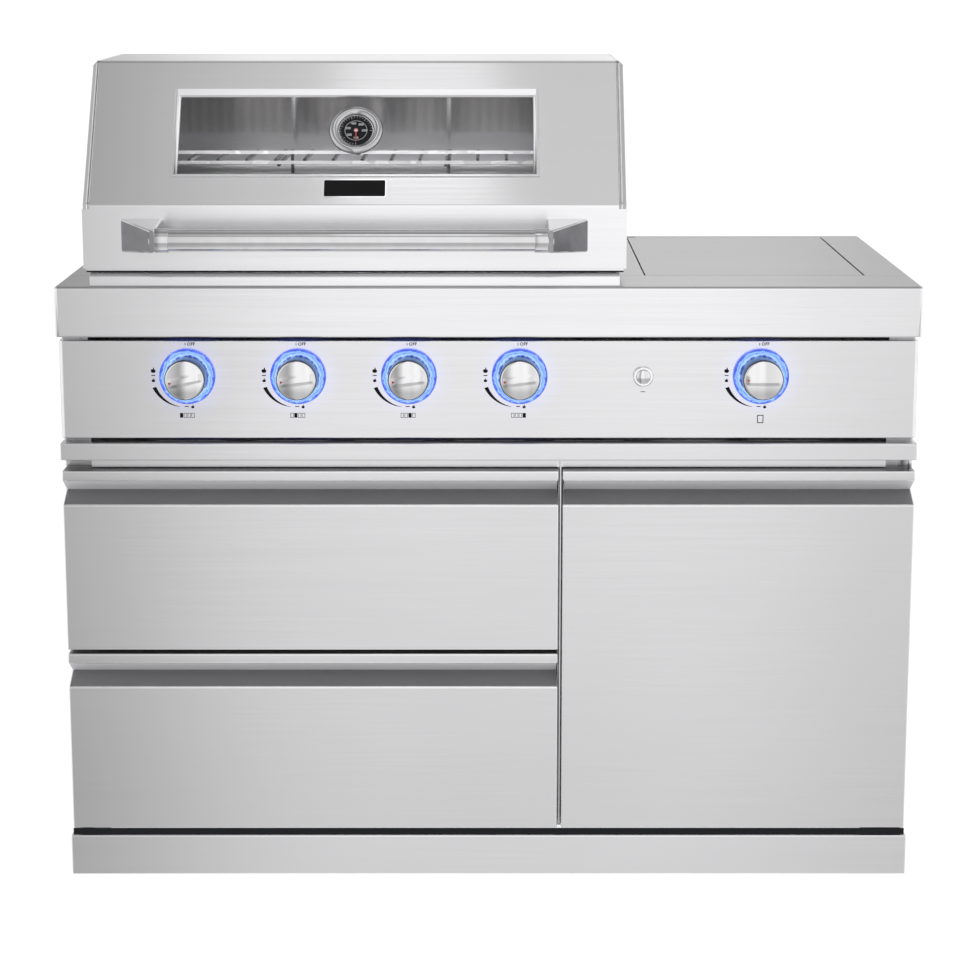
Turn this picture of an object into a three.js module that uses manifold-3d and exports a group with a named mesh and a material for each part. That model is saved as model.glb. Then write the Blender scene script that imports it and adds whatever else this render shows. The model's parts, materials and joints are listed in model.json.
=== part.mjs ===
// Outdoor kitchen island: a four-burner grill with a windowed hood and a side burner under a
// flush lid, on a steel cabinet with two drawers and a door.
// Millimetres, +X right, +Y to the back, +Z up. Y counts from the worktop's front edge until
// the last lines, which centre the island over its base.

import * as THREE from 'three';
import { mergeVertices } from 'three/addons/utils/BufferGeometryUtils.js';
import Module from 'manifold-3d';

const wasm = await Module();
wasm.setup();

// Sheet metal and clearances
const sheet = 1.5;
const fit = 0.4;
const overrun = 10;

// Worktop
const worktopWidth = 1300;
const worktopDepth = 650;
const apronHeight = 76;
const worktopSheet = 2.5;
const worktopEdge = 5;
const worktopCorner = 7;
const apronReturn = 28;
const seamBack = 125;
const seamWidth = 0.8;

// Cabinet, from the floor up
const plinthHeight = 64;
const plinthFlange = 30;
const plinthGap = 12;
const doorHeight = 568;
const recessGap = 16;
const railHeight = 26;
const ventGap = 5;
const panelHeight = 150;
const apronGap = 8;
const floorLap = 6;
const bodyInset = 2;
const frameSetback = 42;
const sideFlange = 41;
const rearVentWidth = 110;
const rearVentHeight = 8;
const rearVentPitch = 26;
const rearVentCount = 5;
const rearVentDrop = 190;
const dividerHem = 2.4;
const dividerHemDepth = 12;

// Front rail with its row of air slots
const railFront = 1;
const ventCount = 7;
const ventPitch = 150;
const ventLength = 105;
const ventWidth = 7;
const ventSetback = 20;
const skirtGap = 3.5;
const skirtClearance = 2;

// Drawer and door fronts with their V-shaped pulls
const frontInset = 4;
const doorWidth = 534;
const frontGap = 6;
const frontDepth = 40;
const pullStrip = 14.5;
const pullHeight = 38.5;
const pullDepth = 34;
const pullApexDrop = 21.2;

// Door pivot
const pivotInset = 8;
const pivotPin = 3;
const pivotClearance = 0.4;
const lugMargin = 6;
const lugRise = 6;
const lugThickness = 3;
const lugWidth = 26;

// Drawer boxes and runners
const boxWall = 1.2;
const boxHeight = 190;
const boxRise = 22;
const boxDepth = 588;
const runnerGap = 13;
const runnerHeight = 40;
const runnerSetback = 18;
const runnerLength = 560;
const runnerFoot = 34;
const ridgeHeight = 17;
const ridgeReach = 8;
const ridgeClearance = 0.5;

// Control panel, knobs and switch
const panelSetback = 17;
const panelCorner = 7;
const controlRise = 96;
const burnerCount = 4;
const burnerPitch = 167;
const burnerShift = -3.8;
const switchX = 233;
const knobRadius = 30.5;
const knobEdge = 4;
const knobReach = 39;
const knobBar = 12;
const knobBarRise = 2.4;
const knobBarInset = 2;
const knobWall = 2.5;
const knobTravel = 3;
const hubRadius = 9;
const stemRadius = 4;
const stemClearance = 0.3;
const stemHole = 7;
const bezelRadius = 42;
const bezelDepth = 7;
const bezelRim = 2.5;
const bezelFloor = 2;
const bezelBore = 8;
const switchRing = 15.5;
const switchBarrel = 13;
const buttonRadius = 11;
const buttonDome = 3;
const buttonTravel = 2;
const switchDepth = 28;

// Gas train
const valveWidth = 24;
const valveHeight = 28;
const valveDepth = 40;
const valveWall = 6;
const pipeRadius = 8;
const pipeDrop = 30;
const pipeOverhang = 40;
const nozzleRadius = 3.5;
const nozzleReach = 28;
const nozzleInsertShare = 0.4;

// Firebox
const grillX = -200;
const fireboxWidth = 792;
const fireboxFront = 8;
const rimHeight = 19;
const rimWidth = 12;
const rimRound = 8;
const fireboxBack = 520;
const fireboxRearRim = 52;
const fireboxDepth = 212;
const fireboxNose = 44;
const fireboxSlopeRun = 82;
const fireboxSlopeDrop = 60;
const rearWallRise = 116;
const greaseLedge = 20;
const shelfDepth = 14;
const grateDrop = 40;
const plateDrop = 132;
const trayRailReach = 10;
const trayRailDrop = 18;

// Burners, flame tamers and grates
const burnerRadius = 14;
const burnerMouth = 16;
const burnerThroat = 10;
const burnerWall = 1.2;
const burnerLength = 380;
const burnerPin = 4;
const burnerHole = 1;
const plateHeight = 34;
const plateHalf = 60;
const grateBar = 8;
const gratePitch = 19;
const grateBarsPerSide = 20;

// Warming rack
const rackHeight = 145;
const rackFront = 247;
const rackDepth = 190;
const rackWidth = 740;
const rackWire = 5;
const rackLip = 16;
const rackWires = 17;
const rackWeld = 1;
const rackLegX = 132;
const rackLegDrop = 60;

// Grease tray
const trayInset = 49;
const trayWall = 1.2;
const trayDepth = 26;
const trayFlange = 7;
const trayPlateMargin = 34;
const trayPlateHeight = 60;

// Hood
const hoodWidth = 812;
const hoodFront = 15;
const hoodGap = 6;
const bandHeight = 94.6;
const slopeRun = 140;
const slopeRise = 208;
const hoodTopDepth = 247;
const rearRun = 188;
const rearDrop = 212.6;
const hoodHem = 12;
const hoodBend = 9;
const capThickness = 11;
const capSkin = 2.5;
const capChamfer = 7;
const heelRadius = 35;
const heelLead = 90;
const hoodPivotRise = 50;
const hoodPin = 5;
const earThickness = 3;
const earRound = 17;
const earLead = 80;
const earTail = 15;
const earGap = 3;
const earTilt = 15;

// Hood window and thermometer
const windowWidth = 550;
const windowLow = 49;
const windowHigh = 200;
const windowBorder = 8;
const windowBorderTop = 12;
const windowProud = 2.5;
const windowBody = 5;
const windowBevel = 5;
const glassThickness = 4;
const glassLap = 5;
const dialRise = 126;
const dialRadius = 26;
const caseRadius = 40.5;
const caseDepth = 15;
const caseDish = 6;
const caseFoot = 13;
const probeRadius = 4;
const probeLength = 60;
const needleLength = 19;
const needleWidth = 2.6;
const needleTipShare = 0.35;
const needleThickness = 1;
const needleHub = 3.5;

// Hood handle
const handleSpan = 695;
const handleRise = 51;
const handleReach = 68;
const barRadius = 16;
const barWall = 1.6;
const collarRadius = 17.75;
const collarLength = 28;
const socketDepth = 20;
const bracketWidth = 61;
const bracketHeight = 49;
const bracketLift = 0.9;
const noseWidth = 9;
const noseHeight = 33;
const bracketRound = 3;

// Side burner
const sideX = 410.5;
const lidWidth = 336;
const lidFront = 130;
const lidDepth = 492;
const lidHeight = 16;
const lidGap = 2.5;
const lidEdge = 4;
const lidHeel = 6;
const lidPin = 2.2;
const wellFlange = 12;
const wellDepth = 68;
const wellLedge = 8;
const ledgeLength = 120;
const ledgeThickness = 3;
const headRadius = 45;
const headHeight = 14;
const headSkirtShare = 0.7;
const headCrownShare = 0.6;
const headLift = 4;
const headPort = 3;
const headPorts = 8;
const venturiRadius = 13;
const potBar = 6;
const potWidth = 230;
const potLift = 44;
const potLeg = 8;
const potRise = 2;
const potGap = 22;

// Facet counts
const roundSides = 24;
const smallSides = 12;
const wireSides = 6;
const arcSteps = 3;

// Places worked out from the sizes above
const plinthTop = plinthHeight;
const frontBottom = plinthTop + plinthGap;
const frontTop = frontBottom + doorHeight;
const railBottom = frontTop + recessGap;
const railTop = railBottom + railHeight;
const panelBottom = railTop + ventGap;
const panelTop = panelBottom + panelHeight;
const apronBottom = panelTop + apronGap;
const worktopTop = apronBottom + apronHeight;
const floorTop = frontBottom + floorLap;
const halfTop = worktopWidth / 2;
const halfBody = halfTop - bodyInset;
const bodyBack = worktopDepth - bodyInset;
const backFace = bodyBack - sheet - fit;
const backInner = backFace - sheet;
const frontRight = halfTop - frontInset;
const doorLeft = frontRight - doorWidth;
const drawerRight = doorLeft - frontGap;
const dividerX = doorLeft - frontGap / 2;
const drawerHeight = (doorHeight - frontGap) / 2;
const panelBackFace = panelSetback + sheet;
const controlZ = panelBottom + controlRise;
const knobPlaces = Array.from({ length: burnerCount }, (_, i) =>
  grillX + burnerShift + (i - (burnerCount - 1) / 2) * burnerPitch);
const controlPlaces = [...knobPlaces, sideX];
const drawerBottoms = [frontBottom, frontBottom + drawerHeight + frontGap];
const boxLeft = -halfBody + sideFlange + runnerGap;
const boxRight = dividerX - sheet / 2 - runnerGap;
const pivotX = frontRight - pivotInset;
const pivotY = pivotInset;
const rimTop = worktopTop + rimHeight;
const halfFirebox = fireboxWidth / 2;
const halfTub = halfFirebox - rimWidth;
const halfTray = halfTub - trayInset;
const fireboxBottom = rimTop - fireboxDepth;
const fireboxWallFront = fireboxFront + rimWidth + fireboxSlopeRun;
const hoodBottom = rimTop + hoodGap;
const bandTop = hoodBottom + bandHeight;
const hoodTop = bandTop + slopeRise;
const hoodTopFront = hoodFront + slopeRun;
const hoodTopBack = hoodTopFront + hoodTopDepth;
const hoodBack = hoodTopBack + rearRun;
const hoodPivotY = hoodBack - heelRadius;
const hoodPivotZ = hoodBottom + hoodPivotRise;
const halfHood = hoodWidth / 2;
const halfShell = halfHood - capThickness;
const capFront = hoodFront + sheet + 2 * fit;
const capCutWidth = capThickness + 2 * fit + overrun;
const slopeAngle = Math.atan2(slopeRun, slopeRise);
const handleY = hoodFront - handleReach;
const handleZ = hoodBottom + handleRise;
const handleFront = handleY - collarRadius;
const lidBack = lidFront + lidDepth;
const sideBurnerY = (lidFront + lidBack) / 2;
const halfLid = lidWidth / 2;
const halfWell = halfLid + lidGap;
const lidPivotY = lidBack - lidHeel;
const lidPivotZ = worktopTop - lidHeel;
const wellTop = worktopTop - worktopSheet - fit;
const wellBottom = worktopTop - wellDepth;
const originDepth = (worktopDepth + handleFront) / 2;

// Finishes
const finish = (color, roughness, metalness) => ({ color, roughness, metalness });
const brushed = finish(0xc9cbce, 0.34, 1);
const satin = finish(0xb4b7bb, 0.4, 1);
const polished = finish(0xe2e4e7, 0.12, 1);
const dull = finish(0x7d7f82, 0.55, 0.9);
const iron = finish(0x2c2c2e, 0.7, 0.6);
const brass = finish(0xb08d4a, 0.35, 1);
const glass = finish(0x2b3034, 0.06, 0);
const lamp = finish(0x8fb4ff, 0.3, 0);
const marker = finish(0xb4231f, 0.4, 0);

const island = new THREE.Group();

function turnOutwards(positions, triangles) {
  let volume = 0;
  const corner = (i) => new THREE.Vector3(...positions.slice(3 * i, 3 * i + 3));
  for (let i = 0; i < triangles.length; i += 3) {
    const [a, b, c] = triangles.slice(i, i + 3).map(corner);
    volume += a.dot(b.cross(c));
  }
  if (volume < 0) {
    for (let i = 0; i < triangles.length; i += 3) {
      [triangles[i], triangles[i + 1]] = [triangles[i + 1], triangles[i]];
    }
  }
}

function solid(positions, triangles) {
  turnOutwards(positions, triangles);
  const mesh = new wasm.Mesh({
    numProp: 3,
    vertProperties: Float32Array.from(positions),
    triVerts: Uint32Array.from(triangles),
  });
  return new wasm.Manifold(mesh);
}

function solidOf(geometry) {
  geometry.deleteAttribute('normal');
  geometry.deleteAttribute('uv');
  const merged = mergeVertices(geometry);
  const positions = Array.from(merged.attributes.position.array);
  const index = Array.from(merged.index.array);
  const triangles = [];
  for (let i = 0; i < index.length; i += 3) {
    const [a, b, c] = index.slice(i, i + 3);
    if (a !== b && b !== c && c !== a) triangles.push(a, b, c);
  }
  return solid(positions, triangles);
}

function geometryOf(body) {
  const mesh = body.getMesh();
  const geometry = new THREE.BufferGeometry();
  geometry.setAttribute('position', new THREE.BufferAttribute(Float32Array.from(mesh.vertProperties), 3));
  geometry.setIndex(new THREE.BufferAttribute(Uint32Array.from(mesh.triVerts), 1));
  geometry.computeVertexNormals();
  return geometry;
}

function piece(name, body, look, parent = island) {
  const mesh = new THREE.Mesh(geometryOf(body), new THREE.MeshStandardMaterial(look));
  mesh.name = name;
  parent.add(mesh);
  return mesh;
}

function block([x0, x1], [y0, y1], [z0, z1]) {
  const geometry = new THREE.BoxGeometry(x1 - x0, y1 - y0, z1 - z0);
  geometry.translate((x0 + x1) / 2, (y0 + y1) / 2, (z0 + z1) / 2);
  return solidOf(geometry);
}

// Outlines lie in the plane across an axis: x takes [y, z], y takes [x, z] and z takes [x, y].
const across = {
  x: ([u, v], at) => [at, u, v],
  y: ([u, v], at) => [u, at, v],
  z: ([u, v], at) => [u, v, at],
};

function signedArea(outline) {
  return outline.reduce((sum, [u, v], i) => {
    const [nextU, nextV] = outline[(i + 1) % outline.length];
    return sum + (u * nextV - nextU * v) / 2;
  }, 0);
}

// A body through outlines of equally many corners, each given with its place on the axis.
function loft(axis, sections) {
  const reversed = signedArea(sections[0][0]) < 0;
  const rings = sections.map(([outline, at]) => {
    const ordered = reversed ? [...outline].reverse() : outline;
    return ordered.map((corner) => across[axis](corner, at));
  });
  const flat = reversed ? [...sections[0][0]].reverse() : sections[0][0];
  const count = flat.length;
  const last = (rings.length - 1) * count;
  const triangles = [];
  for (let ring = 0; ring < last; ring += count) {
    for (let i = 0; i < count; i += 1) {
      const a = ring + i;
      const b = ring + ((i + 1) % count);
      triangles.push(a, b, b + count, a, b + count, a + count);
    }
  }
  const corners = flat.map(([u, v]) => new THREE.Vector2(u, v));
  for (const [a, b, c] of THREE.ShapeUtils.triangulateShape(corners, [])) {
    const turned = signedArea([flat[a], flat[b], flat[c]]) < 0;
    const [p, q] = turned ? [b, a] : [a, b];
    triangles.push(q, p, c, last + p, last + q, last + c);
  }
  return solid(rings.flat(2), triangles);
}

function prism(axis, outline, [from, to]) {
  return loft(axis, [[outline, from], [outline, to]]);
}

function circle([u, v], radius, sides) {
  return Array.from({ length: sides }, (_, i) => {
    const angle = ((i + 0.5) / sides) * 2 * Math.PI;
    return [u + radius * Math.cos(angle), v + radius * Math.sin(angle)];
  });
}

function rod(axis, centre, radius, span, sides = smallSides) {
  return prism(axis, circle(centre, radius, sides), span);
}

// A cutter whose flats, and not only its corners, clear the given radius.
function bore(axis, centre, radius, span, sides = smallSides) {
  return rod(axis, centre, radius / Math.cos(Math.PI / sides), span, sides);
}

function rectangle([u0, u1], [v0, v1]) {
  return [[u0, v0], [u1, v0], [u1, v1], [u0, v1]];
}

// Rounds each corner given as [u, v, radius]; a corner without a radius stays sharp.
function rounded(corners, closed = true) {
  return corners.flatMap(([u, v, radius = 0], i) => {
    const end = !closed && (i === 0 || i === corners.length - 1);
    if (!radius || end) return [[u, v]];
    const here = new THREE.Vector2(u, v);
    const before = new THREE.Vector2(...corners.at(i - 1).slice(0, 2)).sub(here);
    const after = new THREE.Vector2(...corners[(i + 1) % corners.length].slice(0, 2)).sub(here);
    before.normalize();
    after.normalize();
    const half = Math.acos(THREE.MathUtils.clamp(before.dot(after), -1, 1)) / 2;
    const middle = before.clone().add(after).normalize();
    const centre = here.clone().addScaledVector(middle, radius / Math.sin(half));
    const start = here.clone().addScaledVector(before, radius / Math.tan(half)).sub(centre);
    const stop = here.clone().addScaledVector(after, radius / Math.tan(half)).sub(centre);
    const turn = Math.atan2(start.cross(stop), start.dot(stop));
    return Array.from({ length: arcSteps + 1 }, (_, step) => {
      const point = start.clone().rotateAround(new THREE.Vector2(), (turn * step) / arcSteps).add(centre);
      return [point.x, point.y];
    });
  });
}

// The points of a line moved sideways to its right by a distance, mitred at each bend.
function shifted(points, distance, closed = false) {
  const vectors = points.map(([u, v]) => new THREE.Vector2(u, v));
  const count = vectors.length;
  const rightOf = (from, to) => {
    const along = to.clone().sub(from).normalize();
    return new THREE.Vector2(along.y, -along.x);
  };
  return vectors.map((here, i) => {
    const previous = closed || i > 0 ? vectors[(i + count - 1) % count] : null;
    const next = closed || i < count - 1 ? vectors[(i + 1) % count] : null;
    const first = rightOf(previous ?? here, previous ? here : next);
    const second = rightOf(next ? here : previous, next ?? here);
    const mitre = first.clone().add(second).multiplyScalar(distance / (1 + first.dot(second)));
    return [here.x + mitre.x, here.y + mitre.y];
  });
}

function inset(outline, distance) {
  const inward = signedArea(outline) > 0 ? -distance : distance;
  return shifted(outline, inward, true);
}

// The cross-section of a folded sheet, from the line of its outer face.
function folded(points, thickness) {
  return [...points, ...shifted(points, thickness).reverse()];
}

// A body turned about the Y axis from a profile of [radius, depth] points.
function turned(profile, sides = roundSides) {
  const points = profile.map(([radius, depth]) => new THREE.Vector2(radius, depth));
  return solidOf(new THREE.LatheGeometry(points, sides));
}

function joined(bodies) {
  return bodies.reduce((whole, body) => whole.add(body));
}

function cutFrom(body, cutters) {
  return cutters.reduce((rest, cutter) => rest.subtract(cutter), body);
}

const around = (centre, half) => [centre - half, centre + half];

// Cabinet

function plinth() {
  const outer = block([-halfTop, halfTop], [0, worktopDepth], [0, plinthHeight]);
  const hollow = block(
    [-halfTop + sheet, halfTop - sheet],
    [sheet, worktopDepth - sheet],
    [sheet, plinthHeight - sheet],
  );
  const middle = block(
    [-halfTop + plinthFlange, halfTop - plinthFlange],
    [plinthFlange, worktopDepth - plinthFlange],
    [-overrun, plinthHeight + overrun],
  );
  return cutFrom(outer, [hollow, middle]);
}

// The lower door pivot stands on a flat lug that reaches round the side panel's flange.
function pivotLug(skirtFront) {
  const flangeEdge = halfBody - sideFlange - fit;
  const lugFront = pivotY - lugMargin;
  const outline = [
    [flangeEdge - lugWidth, skirtFront + sheet],
    [flangeEdge - lugWidth, lugFront],
    [pivotX + lugMargin, lugFront],
    [pivotX + lugMargin, frameSetback - fit],
    [flangeEdge, frameSetback - fit],
    [flangeEdge, skirtFront + sheet],
  ];
  const low = plinthTop + lugRise - lugThickness;
  return prism('z', outline, [low, low + lugThickness]);
}

function pivotHole(span) {
  return bore('z', [pivotX, pivotY], pivotPin + pivotClearance, span);
}

function basePanel() {
  const half = halfBody - sheet - fit;
  const front = frameSetback + sheet + fit;
  const back = backInner - fit;
  const outer = block([-half, half], [front, back], [plinthTop + fit, floorTop]);
  const hollow = block(
    [-half + sheet, half - sheet],
    [front + sheet, back - sheet],
    [plinthTop - overrun, floorTop - sheet],
  );
  return outer.subtract(hollow).add(pivotLug(front)).subtract(pivotHole([plinthTop, frontBottom]));
}

function sidePanel(side) {
  const top = apronBottom - fit;
  const span = (near, far) => (side > 0 ? [near, far] : [-far, -near]);
  const outer = block(
    span(halfBody - sideFlange, halfBody),
    [frameSetback, bodyBack],
    [plinthTop + fit, top],
  );
  const hollow = block(
    span(halfBody - sideFlange - overrun, halfBody - sheet),
    [frameSetback + sheet, bodyBack - sheet],
    [plinthTop - overrun, top - sheet],
  );
  return outer.subtract(hollow);
}

function rearVents(centre) {
  const width = around(centre, rearVentWidth / 2);
  return Array.from({ length: rearVentCount }, (_, i) => {
    const high = railTop - rearVentDrop - i * rearVentPitch;
    return block(width, [backInner - overrun, bodyBack], [high - rearVentHeight, high]);
  });
}

function backPanel() {
  const half = halfBody - sheet - fit;
  const top = apronBottom - sheet - 2 * fit;
  const panel = block([-half, half], [backInner, backFace], [floorTop + fit, top]);
  const trayTop = fireboxBottom - sheet;
  const trayWay = block(
    around(grillX, halfTray + trayFlange + trayWall + 2 * fit),
    [backInner - overrun, bodyBack],
    [trayTop - trayRailDrop - trayDepth, trayTop],
  );
  const leftBay = (drawerRight - halfBody) / 2;
  const rightBay = (doorLeft + halfBody) / 2;
  return cutFrom(panel, [trayWay, ...rearVents(leftBay), ...rearVents(rightBay)]);
}

// The divider carries the right-hand runner of each drawer.
function centreDivider() {
  const hemBack = frameSetback + dividerHemDepth;
  const half = [
    [sheet / 2, backInner - fit],
    [sheet / 2, hemBack],
    [dividerHem, hemBack],
    [dividerHem, frameSetback],
  ];
  const otherHalf = half.map(([u, v]) => [-u, v]).reverse();
  const outline = [...half, ...otherHalf].map(([u, v]) => [dividerX + u, v]);
  const runners = drawerBottoms.map((bottom) =>
    runnerChannel([boxRight + fit, dividerX], -1, runnerMiddle(bottom)));
  return joined([prism('z', outline, [floorTop + fit, railBottom - fit]), ...runners]);
}

// A skirt hangs from the rail's underside and closes the gap above the fronts to the eye.
function frontRail() {
  const skirt = block(
    around(0, halfBody - sideFlange - skirtGap),
    [railFront + ventSetback, railFront + ventSetback + sheet],
    [frontTop + skirtClearance, railBottom + sheet / 2],
  );
  const outer = block([-halfBody, halfBody], [railFront, frameSetback - fit], [railBottom, railTop]);
  const hollow = block(
    [-halfBody + sheet, halfBody - sheet],
    [railFront + sheet, frameSetback + overrun],
    [railBottom + sheet, railTop - sheet],
  );
  const slots = Array.from({ length: ventCount }, (_, i) => {
    const centre = (i - (ventCount - 1) / 2) * ventPitch;
    return block(
      around(centre, ventLength / 2),
      [railFront + ventSetback, railFront + ventSetback + ventWidth],
      [railTop - 2 * sheet, railTop + overrun],
    );
  });
  const rail = cutFrom(outer, [hollow, ...slots, pivotHole([frontTop, railBottom + 2 * sheet])]);
  return joined([rail, skirt]);
}

// Drawer and door fronts

// A folded pan whose face dips into a V near the top, open at both ends, as a full-width pull.
function frontPan([left, right], [bottom, top]) {
  const pullTop = top - pullStrip;
  const face = (back) => [
    [back, bottom],
    [0, bottom],
    [0, pullTop - pullHeight],
    [pullDepth, pullTop - pullApexDrop],
    [0, pullTop],
    [0, top],
    [back, top],
  ];
  const inner = shifted(face(frontDepth + overrun), sheet);
  const hollow = prism('x', inner, [left + sheet, right - sheet]);
  return prism('x', face(frontDepth), [left, right]).subtract(hollow);
}

function drawerFront(bottom) {
  return frontPan([-frontRight, drawerRight], [bottom, bottom + drawerHeight]);
}

const runnerMiddle = (bottom) => bottom + boxRise + boxHeight / 2;

function drawerBox(bottom) {
  const low = bottom + boxRise;
  const high = low + boxHeight;
  const front = sheet + fit;
  const back = front + boxDepth;
  const outer = block([boxLeft, boxRight], [front, back], [low, high]);
  const hollow = block(
    [boxLeft + boxWall, boxRight - boxWall],
    [front + boxWall, back - boxWall],
    [low + boxWall, high + overrun],
  );
  const middle = runnerMiddle(bottom);
  const ridges = [[boxLeft - ridgeReach, boxLeft], [boxRight, boxRight + ridgeReach]].map((span) =>
    block(span, [frameSetback + runnerSetback, back], around(middle, ridgeHeight / 2)));
  return joined([outer.subtract(hollow), ...ridges]);
}

function runnerChannel([near, far], slotSide, middle) {
  const front = frameSetback + runnerSetback;
  const channel = block([near, far], [front, front + runnerLength], around(middle, runnerHeight / 2));
  const slotHalf = ridgeHeight / 2 + ridgeClearance;
  const slotReach = ridgeReach + 2 * fit;
  const slotSpan = slotSide > 0 ? [far - slotReach, far + overrun] : [near - overrun, near + slotReach];
  return channel.subtract(
    block(slotSpan, [front - overrun, front + runnerLength + overrun], around(middle, slotHalf)));
}

// The left-hand runner stands off the side panel on two feet.
function drawerRunner(bottom) {
  const middle = runnerMiddle(bottom);
  const channel = runnerChannel([boxLeft - runnerGap + fit, boxLeft - fit], 1, middle);
  const front = frameSetback + runnerSetback;
  const footSpan = [-halfBody + sheet + fit, boxLeft - runnerGap + 2 * fit];
  const feet = [front, front + runnerLength - runnerFoot].map((start) =>
    block(footSpan, [start, start + runnerFoot], around(middle, runnerHeight / 2)));
  return joined([channel, ...feet]);
}

function doorPiece() {
  const pan = frontPan([doorLeft, frontRight], [frontBottom, frontTop]);
  const lugBottom = plinthTop + lugRise - lugThickness;
  const pinSpans = [[lugBottom, frontBottom + 2 * sheet], [frontTop - 2 * sheet, railBottom + sheet]];
  return joined([pan, ...pinSpans.map((span) => rod('z', [pivotX, pivotY], pivotPin, span))]);
}

// Worktop and control panel

function roundedRectangle([x0, x1], [y0, y1], radius, inward = 0) {
  const bend = radius - inward;
  return rounded([
    [x0 + inward, y0 + inward, bend],
    [x1 - inward, y0 + inward, bend],
    [x1 - inward, y1 - inward, bend],
    [x0 + inward, y1 - inward, bend],
  ]);
}

function worktop() {
  const edge = Array.from({ length: arcSteps + 1 }, (_, i) => {
    const angle = (i / arcSteps) * (Math.PI / 2);
    const inward = worktopEdge * (1 - Math.cos(angle));
    const height = worktopTop - worktopEdge * (1 - Math.sin(angle));
    return [roundedRectangle([-halfTop, halfTop], [0, worktopDepth], worktopCorner, inward), height];
  });
  const outer = loft('z', [[edge[0][0], apronBottom], ...edge]);
  const hollow = block(
    [-halfTop + worktopSheet, halfTop - worktopSheet],
    [worktopSheet, worktopDepth - worktopSheet],
    [apronBottom + worktopSheet, worktopTop - worktopSheet],
  );
  const underside = block(
    [-halfTop + apronReturn, halfTop - apronReturn],
    [apronReturn, worktopDepth - apronReturn],
    [apronBottom - overrun, apronBottom + overrun],
  );
  const grillWay = block(
    around(grillX, halfTub + 2 * fit),
    [fireboxFront + rimWidth - 2 * fit, fireboxBack + 2 * fit],
    [apronBottom, worktopTop + overrun],
  );
  const lidWay = block(
    around(sideX, halfWell),
    [lidFront - lidGap, lidBack + lidGap],
    [apronBottom, worktopTop + overrun],
  );
  const seam = block(
    [-halfTop - overrun, halfTop + overrun],
    around(seamBack, seamWidth / 2),
    [worktopTop - seamWidth, worktopTop + overrun],
  );
  return cutFrom(outer, [hollow, underside, grillWay, lidWay, seam]);
}

function panPlan(inward) {
  const back = frameSetback - fit + (inward ? overrun : 0);
  const half = halfBody - inward;
  const front = panelSetback + inward;
  const bend = panelCorner - inward;
  return rounded([[half, back], [-half, back], [-half, front, bend], [half, front, bend]]);
}

function controlPanel() {
  const outer = prism('z', panPlan(0), [panelBottom, panelTop]);
  const hollow = prism('z', panPlan(sheet), [panelBottom + sheet, panelTop - sheet]);
  const through = [panelSetback - overrun, panelBackFace + overrun];
  const holes = controlPlaces.map((x) => bore('y', [x, controlZ], stemHole, through));
  const switchHole = bore('y', [switchX, controlZ], switchBarrel + fit, through);
  return cutFrom(outer, [hollow, ...holes, switchHole]);
}

// Gas pipe, valves, stems, bezels and knobs

const valveFront = panelBackFace + fit;
const valveBack = valveFront + valveDepth;
const pipeZ = controlZ - pipeDrop;
const pipeY = (valveFront + valveBack) / 2;
const nozzleTip = valveBack + nozzleReach;
const stemBoreEnd = valveBack - valveWall;
const knobRear = panelSetback - bezelFloor - knobTravel - 2 * fit;
const knobFront = panelSetback - knobReach;
const stemFront = knobFront + 2 * knobWall + fit;
const stemBack = stemBoreEnd - knobTravel - fit;

function gasManifold() {
  const pipeEnds = [knobPlaces[0] - pipeOverhang, sideX + pipeOverhang];
  const valves = controlPlaces.flatMap((x) => [
    block(around(x, valveWidth / 2), [valveFront, valveBack], around(controlZ, valveHeight / 2)),
    block(around(x, pipeRadius), around(pipeY, pipeRadius), [pipeZ, controlZ]),
    rod('y', [x, controlZ], nozzleRadius, [valveBack - valveWall, nozzleTip], smallSides / 2),
  ]);
  const bores = controlPlaces.map((x) =>
    bore('y', [x, controlZ], stemRadius + stemClearance, [valveFront - overrun, stemBoreEnd]));
  return cutFrom(joined([rod('x', [pipeY, pipeZ], pipeRadius, pipeEnds), ...valves]), bores);
}

function valveStem() {
  return rod('y', [0, 0], stemRadius, [stemFront, stemBack]);
}

// A dished ring that carries the lit halo round each knob.
function bezel() {
  const rear = panelSetback - fit;
  const front = panelSetback - bezelDepth;
  const floor = panelSetback - bezelFloor;
  const dishEdge = bezelRadius - bezelRim;
  return turned([
    [bezelBore, rear],
    [bezelBore, floor],
    [knobRadius + bezelRim, floor],
    [dishEdge, front],
    [bezelRadius, front],
    [bezelRadius, rear],
    [bezelBore, rear],
  ]);
}

// A hollow cup on a hub that slips over the valve stem, with a low grip bar across its face.
function knob() {
  const shoulder = knobFront + knobEdge;
  const edgeArc = Array.from({ length: arcSteps + 1 }, (_, i) => {
    const angle = (i / arcSteps) * (Math.PI / 2);
    return [
      knobRadius - knobEdge * (1 - Math.sin(angle)),
      shoulder - knobEdge * Math.cos(angle),
    ];
  });
  const cup = turned([
    [0, knobFront - fit],
    ...edgeArc,
    [knobRadius, knobRear],
    [knobRadius - knobWall, knobRear],
    [knobRadius - knobWall, shoulder + knobWall],
    [hubRadius, shoulder + knobWall],
    [hubRadius, knobRear],
    [stemRadius + stemClearance, knobRear],
    [stemRadius + stemClearance, stemFront - fit],
    [0, stemFront - fit],
  ]);
  const reach = knobRadius - knobEdge - knobBarInset;
  const barSection = (taper) => rectangle(around(0, reach - taper), around(0, (knobBar - taper) / 2));
  const bar = loft('y', [
    [barSection(0), knobFront + knobWall],
    [barSection(knobBarRise), knobFront - knobBarRise],
  ]);
  return cup.add(bar);
}

const switchFront = panelSetback - bezelDepth;
const switchBack = panelSetback + switchDepth;

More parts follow.
